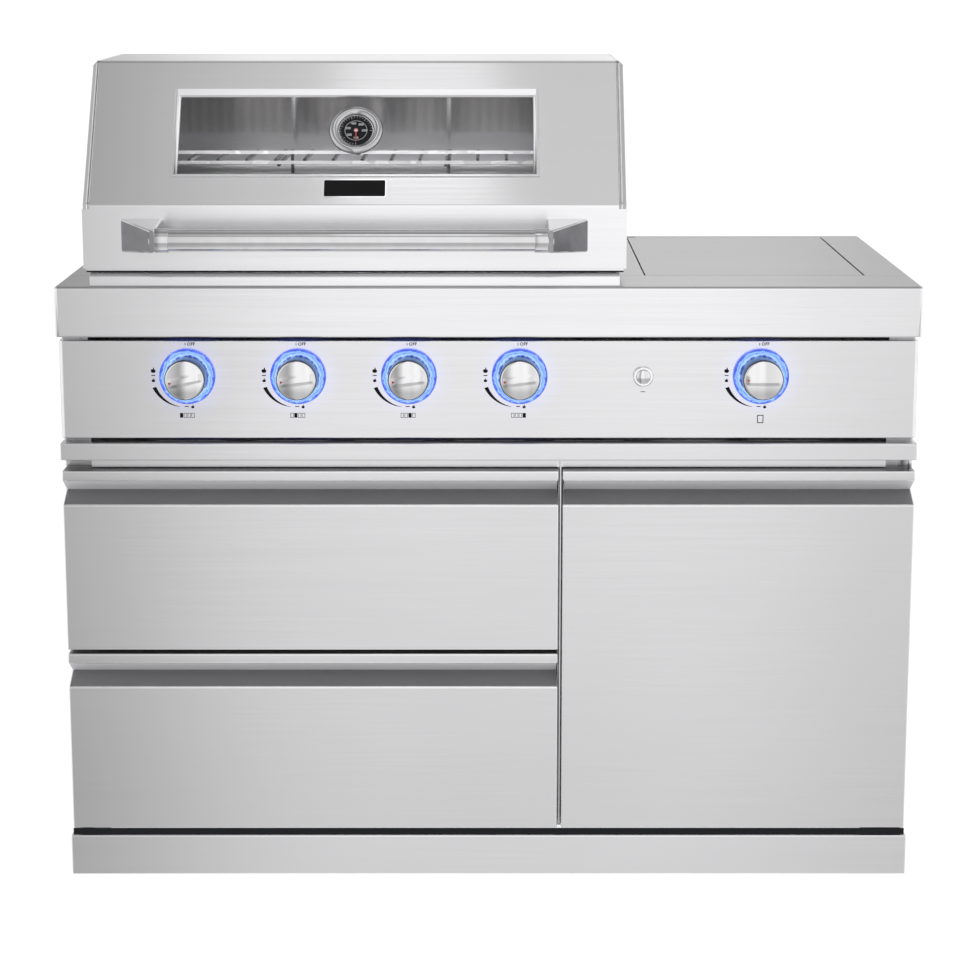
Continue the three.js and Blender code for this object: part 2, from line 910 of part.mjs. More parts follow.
function switchBody() {
  const innerRadius = buttonRadius + fit;
  return turned([
    [0, switchBack],
    [switchBarrel, switchBack],
    [switchBarrel, panelSetback - fit],
    [switchRing, panelSetback - fit],
    [switchRing, switchFront + sheet],
    [switchRing - sheet, switchFront],
    [innerRadius, switchFront],
    [innerRadius, switchBack - sheet],
    [0, switchBack - sheet],
  ], smallSides);
}

function switchButton() {
  const back = switchBack - sheet - buttonTravel - 2 * fit;
  const dome = Array.from({ length: arcSteps + 1 }, (_, i) => {
    const angle = (i / arcSteps) * (Math.PI / 2);
    return [buttonRadius * Math.sin(angle), switchFront - buttonDome * Math.cos(angle)];
  });
  return turned([...dome, [buttonRadius, back], [0, back]], smallSides);
}

// Firebox and what it holds

const tubFront = fireboxFront + rimWidth;
const tubInnerBack = fireboxBack - sheet;
const tubInnerFront = fireboxWallFront + sheet;
const rearWallTop = rimTop + rearWallRise;
const grateShelf = rimTop - grateDrop;
const plateShelf = rimTop - plateDrop;
const shelfFront = tubFront + sheet;

// The tub's front, floor and back, seen from its side, between the given heights.
function tubLine(frontTop, backTop) {
  return [
    [tubFront, frontTop],
    [tubFront, rimTop - fireboxNose],
    [fireboxWallFront, rimTop - fireboxNose - fireboxSlopeDrop],
    [fireboxWallFront, fireboxBottom],
    [fireboxBack, fireboxBottom],
    [fireboxBack, backTop],
  ];
}

function rimOutline(inward) {
  const open = inward ? overrun : 0;
  const back = fireboxBack + fireboxRearRim - inward;
  return rounded([
    [fireboxFront + inward, worktopTop + fit - open],
    [fireboxFront + inward, rimTop - inward, rimRound - inward],
    [back, rimTop - inward],
    [back, worktopTop + fit - open],
  ]);
}

function hoodEar(side) {
  const centre = grillX + side * (halfShell - earGap - earThickness / 2);
  const arc = Array.from({ length: 2 * arcSteps + 1 }, (_, i) => {
    const angle = (i / (2 * arcSteps)) * Math.PI - THREE.MathUtils.degToRad(earTilt);
    return [hoodPivotY + earRound * Math.cos(angle), hoodPivotZ + earRound * Math.sin(angle)];
  });
  const foot = rimTop - sheet / 2;
  const outline = [[hoodPivotY - earLead, foot], [hoodPivotY + earTail, foot], ...arc];
  return prism('x', outline, around(centre, earThickness / 2))
    .subtract(bore('x', [hoodPivotY, hoodPivotZ], hoodPin + stemClearance, around(centre, earThickness)));
}

function trayRail(side) {
  const inner = halfTray - trayRailReach + trayFlange;
  const outer = halfTray + trayFlange + 2 * fit;
  const low = fireboxBottom - trayRailDrop;
  const line = [[inner, low], [outer + sheet, low], [outer + sheet, fireboxBottom + sheet / 2]];
  const section = folded(line, -sheet).map(([x, z]) => [grillX + side * x, z]);
  return prism('y', section, [tubInnerFront, tubInnerBack]);
}

function firebox() {
  const rim = prism('x', rimOutline(0), around(grillX, halfFirebox))
    .subtract(prism('x', rimOutline(sheet), around(grillX, halfFirebox - sheet)));
  const tubTop = rimTop - sheet / 2;
  const thickBack = fireboxBack - 2 * sheet;
  const tubOutline = [...tubLine(tubTop, rearWallTop), [thickBack, rearWallTop], [thickBack, tubTop]];
  const tub = prism('x', tubOutline, around(grillX, halfTub));
  const cutTop = rearWallTop + overrun;
  const hollow = prism('x', shifted(tubLine(cutTop, cutTop), -sheet), around(grillX, halfTub - sheet));
  const drain = block(
    around(grillX, halfTub - greaseLedge),
    [fireboxWallFront + greaseLedge, fireboxBack - greaseLedge],
    [fireboxBottom - overrun, fireboxBottom + overrun],
  );
  const throughFront = [fireboxWallFront - overrun, tubInnerFront + overrun];
  const burnerHoles = knobPlaces.map((x) =>
    bore('y', [x, controlZ], burnerMouth + burnerHole, throughFront));
  const shelf = (span, top) => block(around(grillX, halfTub - sheet / 2), span, [top - sheet, top]);
  const rearShelf = [tubInnerBack - shelfDepth, fireboxBack - sheet / 2];
  const shelves = [
    shelf([tubFront + sheet / 2, shelfFront + shelfDepth], grateShelf),
    shelf(rearShelf, grateShelf),
    shelf([fireboxWallFront + sheet / 2, tubInnerFront + shelfDepth], plateShelf),
    shelf(rearShelf, plateShelf),
  ];
  const body = cutFrom(joined([rim, tub]), [hollow, drain, ...burnerHoles]);
  return joined([body, ...shelves, hoodEar(-1), hoodEar(1), trayRail(-1), trayRail(1)]);
}

// A venturi mouth that takes the valve's nozzle, a throat, a closed tube and a rear pin.
function burner() {
  const mouth = nozzleTip - nozzleReach * nozzleInsertShare;
  const throat = mouth + burnerMouth;
  const tube = throat + 2 * burnerMouth;
  const end = mouth + burnerLength;
  return turned([
    [burnerMouth, mouth],
    [burnerThroat, throat],
    [burnerThroat, throat + burnerMouth],
    [burnerRadius, tube + burnerMouth],
    [burnerRadius, end],
    [burnerPin, end + burnerPin],
    [burnerPin, tubInnerBack - fit],
    [0, tubInnerBack - fit],
    [0, end - burnerWall],
    [burnerRadius - burnerWall, end - burnerWall],
    [burnerRadius - burnerWall, tube + burnerMouth],
    [burnerThroat - burnerWall, throat + burnerMouth],
    [burnerThroat - burnerWall, throat],
    [burnerMouth - burnerWall, mouth],
    [burnerMouth, mouth],
  ], smallSides);
}

// A sheet folded into two ridges, each over one burner.
function flameTamer(side) {
  const places = side < 0 ? knobPlaces.slice(0, burnerCount / 2) : knobPlaces.slice(burnerCount / 2);
  const low = plateShelf + fit;
  const start = side < 0 ? grillX - halfTub + sheet + 2 * fit : grillX + fit;
  const stop = side < 0 ? grillX - fit : grillX + halfTub - sheet - 2 * fit;
  const peak = low + plateHeight;
  const ridge = places.flatMap((x) => [[x - plateHalf, low], [x, peak], [x + plateHalf, low]]);
  const upper = [[start, low], ...ridge, [stop, low]].map(([u, v]) => [u, v + sheet]);
  return prism('y', folded(upper, sheet), [tubInnerFront + fit, tubInnerBack - fit]);
}

function cookingGrate(side) {
  const barHalf = grateBar / 2;
  const middle = grateShelf + fit + barHalf;
  const depth = [shelfFront + fit, tubInnerBack - fit];
  const within = (inward) => [depth[0] + inward, depth[1] - inward];
  const span = gratePitch * (grateBarsPerSide - 1);
  const centre = grillX + (side * (halfTub - sheet)) / 2;
  const bars = Array.from({ length: grateBarsPerSide - 2 }, (_, i) => {
    const x = centre - span / 2 + (i + 1) * gratePitch;
    return rod('y', [x, middle], barHalf, within(barHalf), wireSides);
  });
  const half = span / 2 - fit;
  const outer = block(around(centre, half), depth, around(middle, barHalf));
  const inner = block(around(centre, half - grateBar), within(grateBar), around(middle, grateBar));
  return joined([outer.subtract(inner), ...bars]);
}

// Wire shelf that hangs on the firebox's high back wall by two hooked legs.
function warmingRack() {
  const wire = rackWire / 2;
  const level = rimTop + rackHeight;
  const back = rackFront + rackDepth;
  const half = rackWidth / 2;
  const long = (y, z) => block(around(grillX, half), around(y, wire), around(z, wire));
  const places = Array.from({ length: rackWires }, (_, i) =>
    grillX + (rackWidth - 2 * rackWire) * (i / (rackWires - 1) - 1 / 2));
  const wires = places.map((x) => block(around(x, wire), [rackFront, back], [level, level + rackWire]));
  const risers = [places[0], places.at(-1)].map((x) =>
    block(around(x, wire - fit), around(rackFront, wire - fit), [level, level + rackLip]));
  const legs = [-1, 1].map((side) => prism('x', rackLeg(level), around(grillX + side * rackLegX, wire)));
  const rails = [long(rackFront, level), long(back, level), long(rackFront, level + rackLip)];
  return joined([...rails, ...wires, ...risers, ...legs]);
}

// One leg seen from the side: a rail under the shelf, a foot on the wall and a hook over its top.
function rackLeg(level) {
  const railTop = level - rackWire / 2 + rackWeld;
  const railBottom = railTop - rackWire;
  const wallFront = tubInnerBack - fit;
  const wallBack = fireboxBack + fit;
  const hookBottom = rearWallTop + fit;
  return [
    [rackFront, railBottom],
    [wallFront - rackWire, railBottom],
    [wallFront - rackWire, rearWallTop - rackLegDrop],
    [wallFront, rearWallTop - rackLegDrop],
    [wallFront, hookBottom],
    [wallBack, hookBottom],
    [wallBack, rearWallTop - rackLegDrop / 2],
    [wallBack + rackWire, rearWallTop - rackLegDrop / 2],
    [wallBack + rackWire, hookBottom + rackWire],
    [wallFront, hookBottom + rackWire],
    [wallFront, railTop],
    [rackFront, railTop],
  ];
}

function greaseTray() {
  const half = halfTray - trayRailReach + trayFlange - fit;
  const top = fireboxBottom - trayRailDrop + sheet + fit + trayWall;
  const low = top - trayDepth;
  const front = fireboxWallFront + greaseLedge / 2;
  const plateFront = backFace + fit;
  const tub = block(around(grillX, half), [front, plateFront + sheet / 2], [low, top - trayWall / 2]);
  const flange = block(
    around(grillX, halfTray + trayFlange),
    [front + fit, tubInnerBack],
    [top - trayWall, top],
  );
  const hollow = block(
    around(grillX, half - trayWall),
    [front + trayWall, plateFront - trayWall],
    [low + trayWall, top + overrun],
  );
  const plate = block(
    around(grillX, halfTray + trayPlateMargin),
    [plateFront, plateFront + sheet],
    around((low + top) / 2, trayPlateHeight / 2),
  );
  return tub.add(flange).subtract(hollow).add(plate);
}

// Hood, drawn in the depth and height plane and run across the grill

const hoodLine = [
  [hoodFront, hoodBottom],
  [hoodFront, bandTop, hoodBend],
  [hoodTopFront, hoodTop, hoodBend],
  [hoodTopBack, hoodTop, hoodBend],
  [hoodBack, hoodTop - rearDrop],
];

// The band's face runs on in front of both ends; the rest of the shell lies between them.
function hoodShell() {
  const line = rounded([[hoodFront + hoodHem, hoodBottom], ...hoodLine], false);
  const shell = prism('x', folded(line, sheet), around(grillX, halfHood));
  const endCuts = [-1, 1].flatMap((side) => {
    const span = around(grillX + side * (halfShell - fit + capCutWidth / 2), capCutWidth / 2);
    const upTo = hoodTop + overrun;
    return [
      block(span, [hoodFront - overrun, hoodBack], [bandTop - hoodBend / 2, upTo]),
      block(span, [hoodFront + sheet + fit, hoodBack + overrun], [hoodBottom - overrun, upTo]),
    ];
  });
  return cutFrom(shell, [windowWay(), ...endCuts]);
}

function alongSlope(body) {
  const placed = geometryOf(body);
  placed.rotateX(-slopeAngle);
  placed.translate(0, hoodFront, bandTop);
  return solidOf(placed);
}

function windowWay() {
  return alongSlope(block(
    around(grillX, windowWidth / 2 + fit),
    around(0, overrun),
    [windowLow - fit, windowHigh + fit],
  ));
}

// A pressed end: a thin skin with a chamfered face, a deep rim and the stub it turns on.
function hoodEnd(side) {
  const heel = Array.from({ length: arcSteps + 1 }, (_, i) => {
    const angle = -(i / arcSteps) * (Math.PI / 2);
    return [hoodPivotY + heelRadius * Math.cos(angle), hoodPivotZ + heelRadius * Math.sin(angle)];
  });
  const face = [
    [capFront, hoodBottom],
    [capFront, bandTop + ((capFront - hoodFront) * slopeRise) / slopeRun, hoodBend],
    ...hoodLine.slice(2),
  ];
  const outline = [...rounded(face, false), ...heel, [hoodPivotY - heelLead, hoodBottom]];
  const at = (half) => grillX + side * half;
  const skin = loft('x', [
    [outline, at(halfShell)],
    [outline, at(halfHood - capChamfer)],
    [inset(outline, capChamfer), at(halfHood)],
  ]);
  const hollow = loft('x', [
    [inset(outline, capSkin), at(halfShell - overrun)],
    [inset(outline, capSkin), at(halfHood - capChamfer)],
    [inset(outline, capChamfer + capSkin / 2), at(halfHood - capSkin)],
  ]);
  const pinEnd = halfShell - earGap - earThickness - fit;
  const span = side > 0 ? [at(pinEnd), at(halfHood - sheet)] : [at(halfHood - sheet), at(pinEnd)];
  return skin.subtract(hollow).add(rod('x', [hoodPivotY, hoodPivotZ], hoodPin, span));
}

// Window, thermometer and needle are drawn upright and tilted with the hood's slope.
const slope = new THREE.Group();
slope.position.set(grillX, hoodFront, bandTop);
slope.rotation.x = -slopeAngle;
island.add(slope);

const paneWidth = windowWidth / 2 - windowBorder;
const paneHeight = [windowLow + windowBorder, windowHigh - windowBorderTop];

function windowFrame() {
  const grow = (span, by) => [span[0] - by, span[1] + by];
  const body = block(around(0, windowWidth / 2), [-windowProud, windowBody], [windowLow, windowHigh]);
  const opening = loft('y', [
    [rectangle(around(0, paneWidth + windowBevel), grow(paneHeight, windowBevel)), -windowProud - fit],
    [rectangle(around(0, paneWidth), paneHeight), windowBody - sheet],
    [rectangle(around(0, paneWidth), paneHeight), windowBody + overrun],
  ]);
  return body.subtract(opening);
}

const glassFront = windowBody + fit;

function windowGlass() {
  const pane = block(
    around(0, paneWidth + glassLap),
    [glassFront, glassFront + glassThickness],
    [paneHeight[0] - glassLap, paneHeight[1] + glassLap],
  );
  return pane.subtract(bore('y', [0, dialRise], probeRadius + fit, around(glassFront, overrun)));
}

function thermometerCase() {
  const back = glassFront - fit;
  const rim = back - caseDepth;
  return turned([
    [0, rim + caseDish],
    [dialRadius, rim + caseDish],
    [dialRadius + sheet, rim],
    [caseRadius - sheet, rim + sheet],
    [caseRadius, rim + 2 * sheet],
    [caseRadius - sheet, rim + caseDish],
    [caseFoot, back - sheet],
    [caseFoot, back],
    [probeRadius, back],
    [probeRadius, back + probeLength],
    [0, back + probeLength],
  ]);
}

// Drawn pointing down, the way the dial reads when the grill is cold.
function thermometerNeedle() {
  const face = glassFront - fit - caseDepth + caseDish - fit;
  const depth = [face - needleThickness, face];
  const half = needleWidth / 2;
  const tip = half * needleTipShare;
  const pointer = [[-half, 0], [half, 0], [tip, -needleLength], [-tip, -needleLength]];
  return prism('y', pointer, depth).add(rod('y', [0, 0], needleHub, depth));
}

// Handle

const bracketInner = handleSpan / 2 - bracketWidth;
const collarOpen = bracketInner + noseWidth - collarLength;

function handleBar() {
  const half = collarOpen + socketDepth - fit;
  const centre = [handleY, handleZ];
  const hollow = rod('x', centre, barRadius - barWall, around(grillX, half + overrun), roundSides);
  return rod('x', centre, barRadius, around(grillX, half), roundSides).subtract(hollow);
}

// A tapered bracket, broad on the hood and narrow at its nose, with a collar for the bar.
function handleBracket(side) {
  const at = (near, far) => (side > 0 ? [grillX + near, grillX + far] : [grillX - far, grillX - near]);
  const lift = handleZ - bracketLift;
  const section = (width, height, centre) =>
    roundedRectangle(at(bracketInner, bracketInner + width), around(centre, height / 2), bracketRound);
  const arm = loft('y', [
    [section(bracketWidth, bracketHeight, lift), hoodFront - fit],
    [section(noseWidth, noseHeight, handleZ), handleFront],
  ]);
  const centre = [handleY, handleZ];
  const collar = rod('x', centre, collarRadius, at(collarOpen, bracketInner + noseWidth), roundSides);
  const socketSpan = at(collarOpen - overrun, collarOpen + socketDepth);
  return arm.add(collar).subtract(bore('x', centre, barRadius + fit, socketSpan, roundSides));
}

// Side burner

function sideLid() {
  const low = worktopTop - lidHeight;
  const outline = rounded([
    [lidFront, low],
    [lidFront, worktopTop, lidEdge],
    [lidBack, worktopTop, lidHeel],
    [lidBack, low],
  ]);
  const inner = rounded([
    [lidFront + sheet, low - overrun],
    [lidFront + sheet, worktopTop - sheet, lidEdge - sheet],
    [lidBack - sheet, worktopTop - sheet, lidHeel - sheet],
    [lidBack - sheet, low - overrun],
  ]);
  const hollow = prism('x', inner, around(sideX, halfLid - sheet));
  const pan = prism('x', outline, around(sideX, halfLid)).subtract(hollow);
  const near = halfLid - 2 * sheet;
  const far = halfWell + sheet;
  const pins = [[sideX - far, sideX - near], [sideX + near, sideX + far]].map((span) =>
    rod('x', [lidPivotY, lidPivotZ], lidPin, span, smallSides / 2));
  return joined([pan, ...pins]);
}

function sideWell() {
  const width = around(sideX, halfWell + sheet);
  const depth = [lidFront - lidGap - sheet, lidBack + lidGap + sheet];
  const flange = block(
    around(sideX, halfWell + wellFlange),
    [lidFront - lidGap - wellFlange, lidBack + lidGap + wellFlange],
    [wellTop - sheet, wellTop],
  );
  const hollow = block(
    around(sideX, halfWell),
    [lidFront - lidGap, lidBack + lidGap],
    [wellBottom + sheet, wellTop + overrun],
  );
  const burnerHole = bore('z', [sideX, sideBurnerY], venturiRadius + fit, around(wellBottom, overrun));
  const pinSpan = around(sideX, halfWell + overrun);
  const pinHoles = bore('x', [lidPivotY, lidPivotZ], lidPin + stemClearance, pinSpan, smallSides / 2);
  const ledgeTop = worktopTop - lidHeight - fit;
  const ledge = block(
    around(sideX, ledgeLength / 2),
    [lidFront - lidGap - fit, lidFront + wellLedge],
    [ledgeTop - ledgeThickness, ledgeTop],
  );
  const tub = block(width, depth, [wellBottom, wellTop]).add(flange);
  return cutFrom(tub, [hollow, burnerHole, pinHoles]).add(ledge);
}

// A ported head on a bent venturi that comes forward to the side valve's nozzle.
function sideBurnerHead() {
  const centre = [sideX, sideBurnerY];
  const capLow = wellBottom + sheet + headLift;
  const cap = loft('z', [
    [circle(centre, headRadius, roundSides), capLow],
    [circle(centre, headRadius, roundSides), capLow + headHeight * headSkirtShare],
    [circle(centre, headRadius * headCrownShare, roundSides), capLow + headHeight],
  ]);
  const foot = rod('z', centre, venturiRadius + 2 * headPort, [wellBottom + sheet + fit, capLow + fit]);
  const riser = rod('z', centre, venturiRadius, [controlZ - venturiRadius, capLow + fit]);
  const mouth = nozzleTip - nozzleReach * nozzleInsertShare;
  const venturi = rod('y', [sideX, controlZ], venturiRadius, [mouth, sideBurnerY]);
  const hollow = rod('y', [sideX, controlZ], venturiRadius - sheet, [mouth - overrun, sideBurnerY]);
  const ports = Array.from({ length: headPorts }, (_, i) => {
    const angle = (i / headPorts) * 2 * Math.PI;
    const place = [sideX + headRadius * Math.cos(angle), sideBurnerY + headRadius * Math.sin(angle)];
    return rod('z', place, headPort, [capLow + headPort, capLow + headHeight], wireSides);
  });
  return cutFrom(joined([cap, foot, riser, venturi]), [hollow, ...ports]);
}

function sideGrate() {
  const half = potWidth / 2;
  const low = wellBottom + sheet + fit;
  const top = wellBottom + potLift;
  const bar = potBar / 2;
  const ring = (reach, height) => block(around(sideX, reach), around(sideBurnerY, reach), height);
  const frame = ring(half, [top - potBar, top]).subtract(ring(half - potBar, [low, top + overrun]));
  const level = [top - bar, top + potRise];
  const fingerHalf = (half - potGap - bar) / 2;
  const reach = (centre, side) => around(centre + side * (potGap + fingerHalf), fingerHalf);
  const fingers = [-1, 1].flatMap((side) => [
    block(reach(sideX, side), around(sideBurnerY, bar), level),
    block(around(sideX, bar), reach(sideBurnerY, side), level),
  ]);
  const corner = half - potLeg / 2 - fit;
  const legs = [[-1, -1], [-1, 1], [1, -1], [1, 1]].map(([i, j]) =>
    block(
      around(sideX + i * corner, potLeg / 2),
      around(sideBurnerY + j * corner, potLeg / 2),
      [low, top - bar],
    ));
  return joined([frame, ...fingers, ...legs]);
}

// The assembly

piece('plinth', plinth(), brushed);
piece('base_panel', basePanel(), satin);
piece('side_panel_left', sidePanel(-1), brushed);
piece('side_panel_right', sidePanel(1), brushed);
piece('back_panel', backPanel(), satin);
piece('centre_divider', centreDivider(), satin);
piece('front_rail', frontRail(), brushed);
piece('worktop', worktop(), brushed);
piece('control_panel', controlPanel(), brushed);
piece('gas_manifold', gasManifold(), brass);

['lower', 'upper'].forEach((name, i) => {
  piece(`drawer_${name}_front`, drawerFront(drawerBottoms[i]), brushed);
  piece(`drawer_${name}_box`, drawerBox(drawerBottoms[i]), satin);
  piece(`drawer_${name}_runner`, drawerRunner(drawerBottoms[i]), dull);
});
piece('door', doorPiece(), brushed);

controlPlaces.forEach((x, i) => {
  const control = new THREE.Group();
  control.position.set(x, 0, controlZ);
  island.add(control);
  piece(`bezel_${i + 1}`, bezel(), lamp, control);
  piece(`valve_stem_${i + 1}`, valveStem(), dull, control);
  piece(`knob_${i + 1}`, knob(), polished, control);
});

const lightSwitch = new THREE.Group();
lightSwitch.position.set(switchX, 0, controlZ);
island.add(lightSwitch);
piece('switch_body', switchBody(), polished, lightSwitch);
piece('switch_button', switchButton(), polished, lightSwitch);

piece('firebox', firebox(), satin);
knobPlaces.forEach((x, i) => {
  piece(`burner_${i + 1}`, burner(), dull).position.set(x, 0, controlZ);
});
piece('flame_tamer_left', flameTamer(-1), dull);
piece('flame_tamer_right', flameTamer(1), dull);
piece('grate_left', cookingGrate(-1), iron);
piece('grate_right', cookingGrate(1), iron);
piece('warming_rack', warmingRack(), dull);
piece('grease_tray', greaseTray(), satin);

piece('hood_shell', hoodShell(), brushed);
piece('hood_end_left', hoodEnd(-1), dull);
piece('hood_end_right', hoodEnd(1), dull);
piece('window_frame', windowFrame(), polished, slope);
piece('window_glass', windowGlass(), glass, slope);
piece('thermometer_case', thermometerCase(), polished, slope).position.z = dialRise;
piece('thermometer_needle', thermometerNeedle(), marker, slope).position.z = dialRise;
piece('handle_bar', handleBar(), polished);
piece('handle_bracket_left', handleBracket(-1), polished);
piece('handle_bracket_right', handleBracket(1), polished);

piece('side_burner_lid', sideLid(), brushed);
piece('side_burner_well', sideWell(), satin);
piece('side_burner_head', sideBurnerHead(), iron);
piece('side_burner_grate', sideGrate(), iron);

island.position.y = -originDepth;

export default island;
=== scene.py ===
"""Looks of the outdoor kitchen island: materials, rounded sheet edges and small detailed pieces.

Metres, +X right, +Y back, +Z up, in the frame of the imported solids. Named sizes are in millimetres.
"""

import json
import math

import bmesh
import bpy
from mathutils import Matrix, Vector

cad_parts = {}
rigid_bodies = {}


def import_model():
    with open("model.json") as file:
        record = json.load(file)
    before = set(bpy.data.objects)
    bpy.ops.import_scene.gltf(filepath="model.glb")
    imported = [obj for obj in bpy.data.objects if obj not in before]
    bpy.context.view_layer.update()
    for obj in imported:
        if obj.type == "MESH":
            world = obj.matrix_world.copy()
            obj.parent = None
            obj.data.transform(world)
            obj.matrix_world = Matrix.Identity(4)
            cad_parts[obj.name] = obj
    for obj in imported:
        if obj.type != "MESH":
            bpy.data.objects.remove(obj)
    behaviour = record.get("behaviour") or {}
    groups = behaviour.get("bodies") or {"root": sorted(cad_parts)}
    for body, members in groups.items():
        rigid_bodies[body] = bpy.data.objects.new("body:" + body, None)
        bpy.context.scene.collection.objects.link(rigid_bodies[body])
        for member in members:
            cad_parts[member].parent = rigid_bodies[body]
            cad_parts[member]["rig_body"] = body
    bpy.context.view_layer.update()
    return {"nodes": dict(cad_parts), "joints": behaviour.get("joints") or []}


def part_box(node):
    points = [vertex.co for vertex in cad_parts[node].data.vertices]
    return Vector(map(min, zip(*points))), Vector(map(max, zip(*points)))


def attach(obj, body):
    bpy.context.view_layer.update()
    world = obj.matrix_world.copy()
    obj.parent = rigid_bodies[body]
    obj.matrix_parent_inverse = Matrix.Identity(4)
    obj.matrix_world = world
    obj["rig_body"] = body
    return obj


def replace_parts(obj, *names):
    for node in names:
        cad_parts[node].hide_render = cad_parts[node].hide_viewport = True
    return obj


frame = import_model()
nodes = frame["nodes"]
joints = {joint["name"]: joint for joint in frame["joints"]}
scene = bpy.context.scene
body_of = {name: nodes[name]["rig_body"] for name in nodes}

MM = 0.001

# Rounding of folded sheet and of solid trim; FOLD_LEAST is the narrowest face beside it, in radii
MERGE = 0.02
FLAT_ANGLE = 0.6
SHEET_ROUND = 2.2
APRON_ROUND = 2.4
THIN_ROUND = 0.4
TRIM_ROUND = 1.2
IRON_ROUND = 1.5
ROUND_STEPS = 3
FOLD_LEAST = 1.6
SHARP_ANGLE = 35
CONVEX_ANGLE = 30
NORMAL_WEIGHT = 80

# Turned pieces
TURN_SIDES = 96
SMALL_SIDES = 48
ARC_STEPS = 8
CORNER_STEPS = 4
AXIS_RADIUS = 1e-6
SEAM = 1e-4

# Knobs
KNOB_TURNS = (12, 7, 7, 7, 0)
KNOB_EDGE = 4
KNOB_CROWN = 1.7
KNOB_WALL = 2.5
KNOB_HOLLOW = 12
RIDGE_RISE = 2.2
RIDGE_HALF = 5.5
RIDGE_SOFT = 4
RIDGE_END = 5
FACE_RINGS = 14
FACE_SETBACK = 0.2
MARKER_PLACE = -22
MARKER_SIZE = 2.6
MARKER_SINK = 1.5
MARKER_THICK = 1.2

# Lit ring round each knob
RING_RIM = 2.4
RING_FLOOR = 1.8
RING_BORE = 8
RING_DISH = 33
RING_SLOPE = 1.5

# Marks printed on the control panel, from the middle of each knob
PRINT_THICK = 0.08
PRINT_LIFT = 0.05
OFF_PLACE = (6.2, 48.7)
OFF_HEIGHT = 5
LETTER_WEIGHT = 0.03
LETTER_STEPS = 3
FONT_SCALE = 1.38
MARK_TICK_PLACE = (-2.6, 48.7)
MARK_TICK_SIZE = (1, 4)
FLAMES = (((-51.6, 9.2), 9), ((-51.6, -6.2), 6.5), ((6.8, -46.7), 6))
DASHES = ((-51.6, 0.8), (-2.2, -46.7))
DASH_SIZE = (6, 1.3)
ARC_START = 199
ARC_END = 256
ARC_RADII = (53.4, 48.6)
ARC_WIDTH = 5.6
ARC_TAIL = 0.15
SQUARE_COUNT = 4
SQUARE_PITCH = 5.8
SQUARE_SIZE = (4.8, 7.2)
SQUARE_LINE = 0.7
SQUARES_PLACE = (-1.6, -60.4)
SIDE_MARK_PLACE = (0.5, -66)
SIDE_MARK_SIZE = (9.6, 12.6)
SIDE_MARK_LINE = 1.2
SWITCH_MARK_PLACE = (0, -24)
SWITCH_MARK_SIZE = (7, 1)

# Thermometer, with depths measured from the face of the hood's slope
CASE_RADIUS = 40.5
CASE_CREST = -10
CASE_RIM = -4.5
DIAL_RADIUS = 25.4
DIAL_SEAT = -4
CASE_WALL = 1.1
CASE_FOOT = 13
CASE_BACK = 5
CASE_STEP = 1.5
CASE_LIP = (1, 2)
PROBE_RADIUS = 4
PROBE_END = 65
DIAL_THICK = 0.15
DIAL_SWEEP = 270
DIAL_STEPS = 25
DIAL_MAJOR = 5
TICK_OUTER = 24.2
TICK_LONG = 3.6
TICK_SHORT = 1.9
TICK_WIDE = 0.55
DIAL_NUMBERS = ("100", "200", "300", "400", "500", "600")
NUMBER_HEIGHT = 3.8
NUMBER_RADIUS = 12.6
SCALE_RING = (16.4, 17.0)
HUB_RADIUS = 2.6
HUB_RISE = 1.5

# Plain plate on the hood, from the middle of the dial down the slope
PLATE_DROP = 97.3
PLATE_SIZE = (94, 30)
PLATE_THICK = 1.4
PLATE_LINE = 1.3
PLATE_LIP = 0.5
PLATE_ROUND = 2

# Bright strip along the window's top, from the middle of the dial
STRIP_RISE = 63
STRIP_SIZE = (544, 8)
STRIP_BACK = 1
STRIP_EDGE = 0.3

# Shortest face along X that belongs to a long rail of the warming rack
RAIL_LEAST = 9

# Depth behind the firebox's front in which its faces belong to the rim
RIM_DEPTH = 6

# Lip and strips: a bright lip and a black strip of painted shade under the hood's front edge, and a
# black strip of painted shade between the plinth and the fronts
SHADE_STRIP_CLEAR = 0.6
LIP_AND_SHADE_THICK = 1
SHADE_STRIP_GAP = 0.1
HOOD_LIP_DROP = 2.6
HOOD_LIP_BACK = 1
HOOD_SHADE_DROP = 5.2
HOOD_SHADE_BACK = 3
HOOD_STRIP_INSET = 4

# Handle
BAR_RADIUS = 16
COLLAR_RADIUS = 17.75
COLLAR_LENGTH = 28
COLLAR_ROUND = 1
BRACKET_ROUND = 3.2
NOSE_SIZE = (9, 33)
NOSE_ROUND = 1.2
BRACKET_FOOT = 1.5
# Least tilt of a bracket's face that takes the brighter or darker chrome of painted light and shade
FACET_TILT = 0.3

# Switch
SWITCH_RING = 15.5
SWITCH_BORE = 11.5
SWITCH_PROUD = 7
BUTTON_RADIUS = 11
BUTTON_DOME = 3
BUTTON_SKIRT = 6

# Nose of the divider between the drawers and the door
NOSE_THICK = 1.6
NOSE_SETBACK = 5
NOSE_CLEAR = 0.6
SKIRT_SETBACK = 20

# Hinge slot at the back of the side lid
HINGE_SLOT = (16, 5)
HINGE_SLOT_INSET = 2
HINGE_SLOT_ROUND = 1.5

# Camera, fitted to the photograph with a small shift
CAMERA_DISTANCE = 3525
CAMERA_HEIGHT = 1419
CAMERA_X = 2
CAMERA_PITCH = 10.5
FOCAL_PIXELS = 2385
IMAGE_SIDE = 980
SENSOR = 36
CAMERA_SHIFT = -0.1
CLIP_END = 100


# Materials

# Span of most values of a noise
NOISE_SPAN = (0.3, 0.7)

# Brushed steel: scales of its noises across and along the brushing, tint and spread of values
GRAIN_FINE = 1300
GRAIN_ALONG = 8
STREAK_FINE = 170
STREAK_ALONG = 2.4
CLOUD_SCALE = 2.6
CLOUD_SPAN = (0.75, 1.25)
STEEL_TINT = (1.004, 0.998, 1.014)
STEEL_SPREAD = (-0.015, 0.02)
SCRATCH_DEPTH = 0.0003
QUARTER_TURN = 0.25
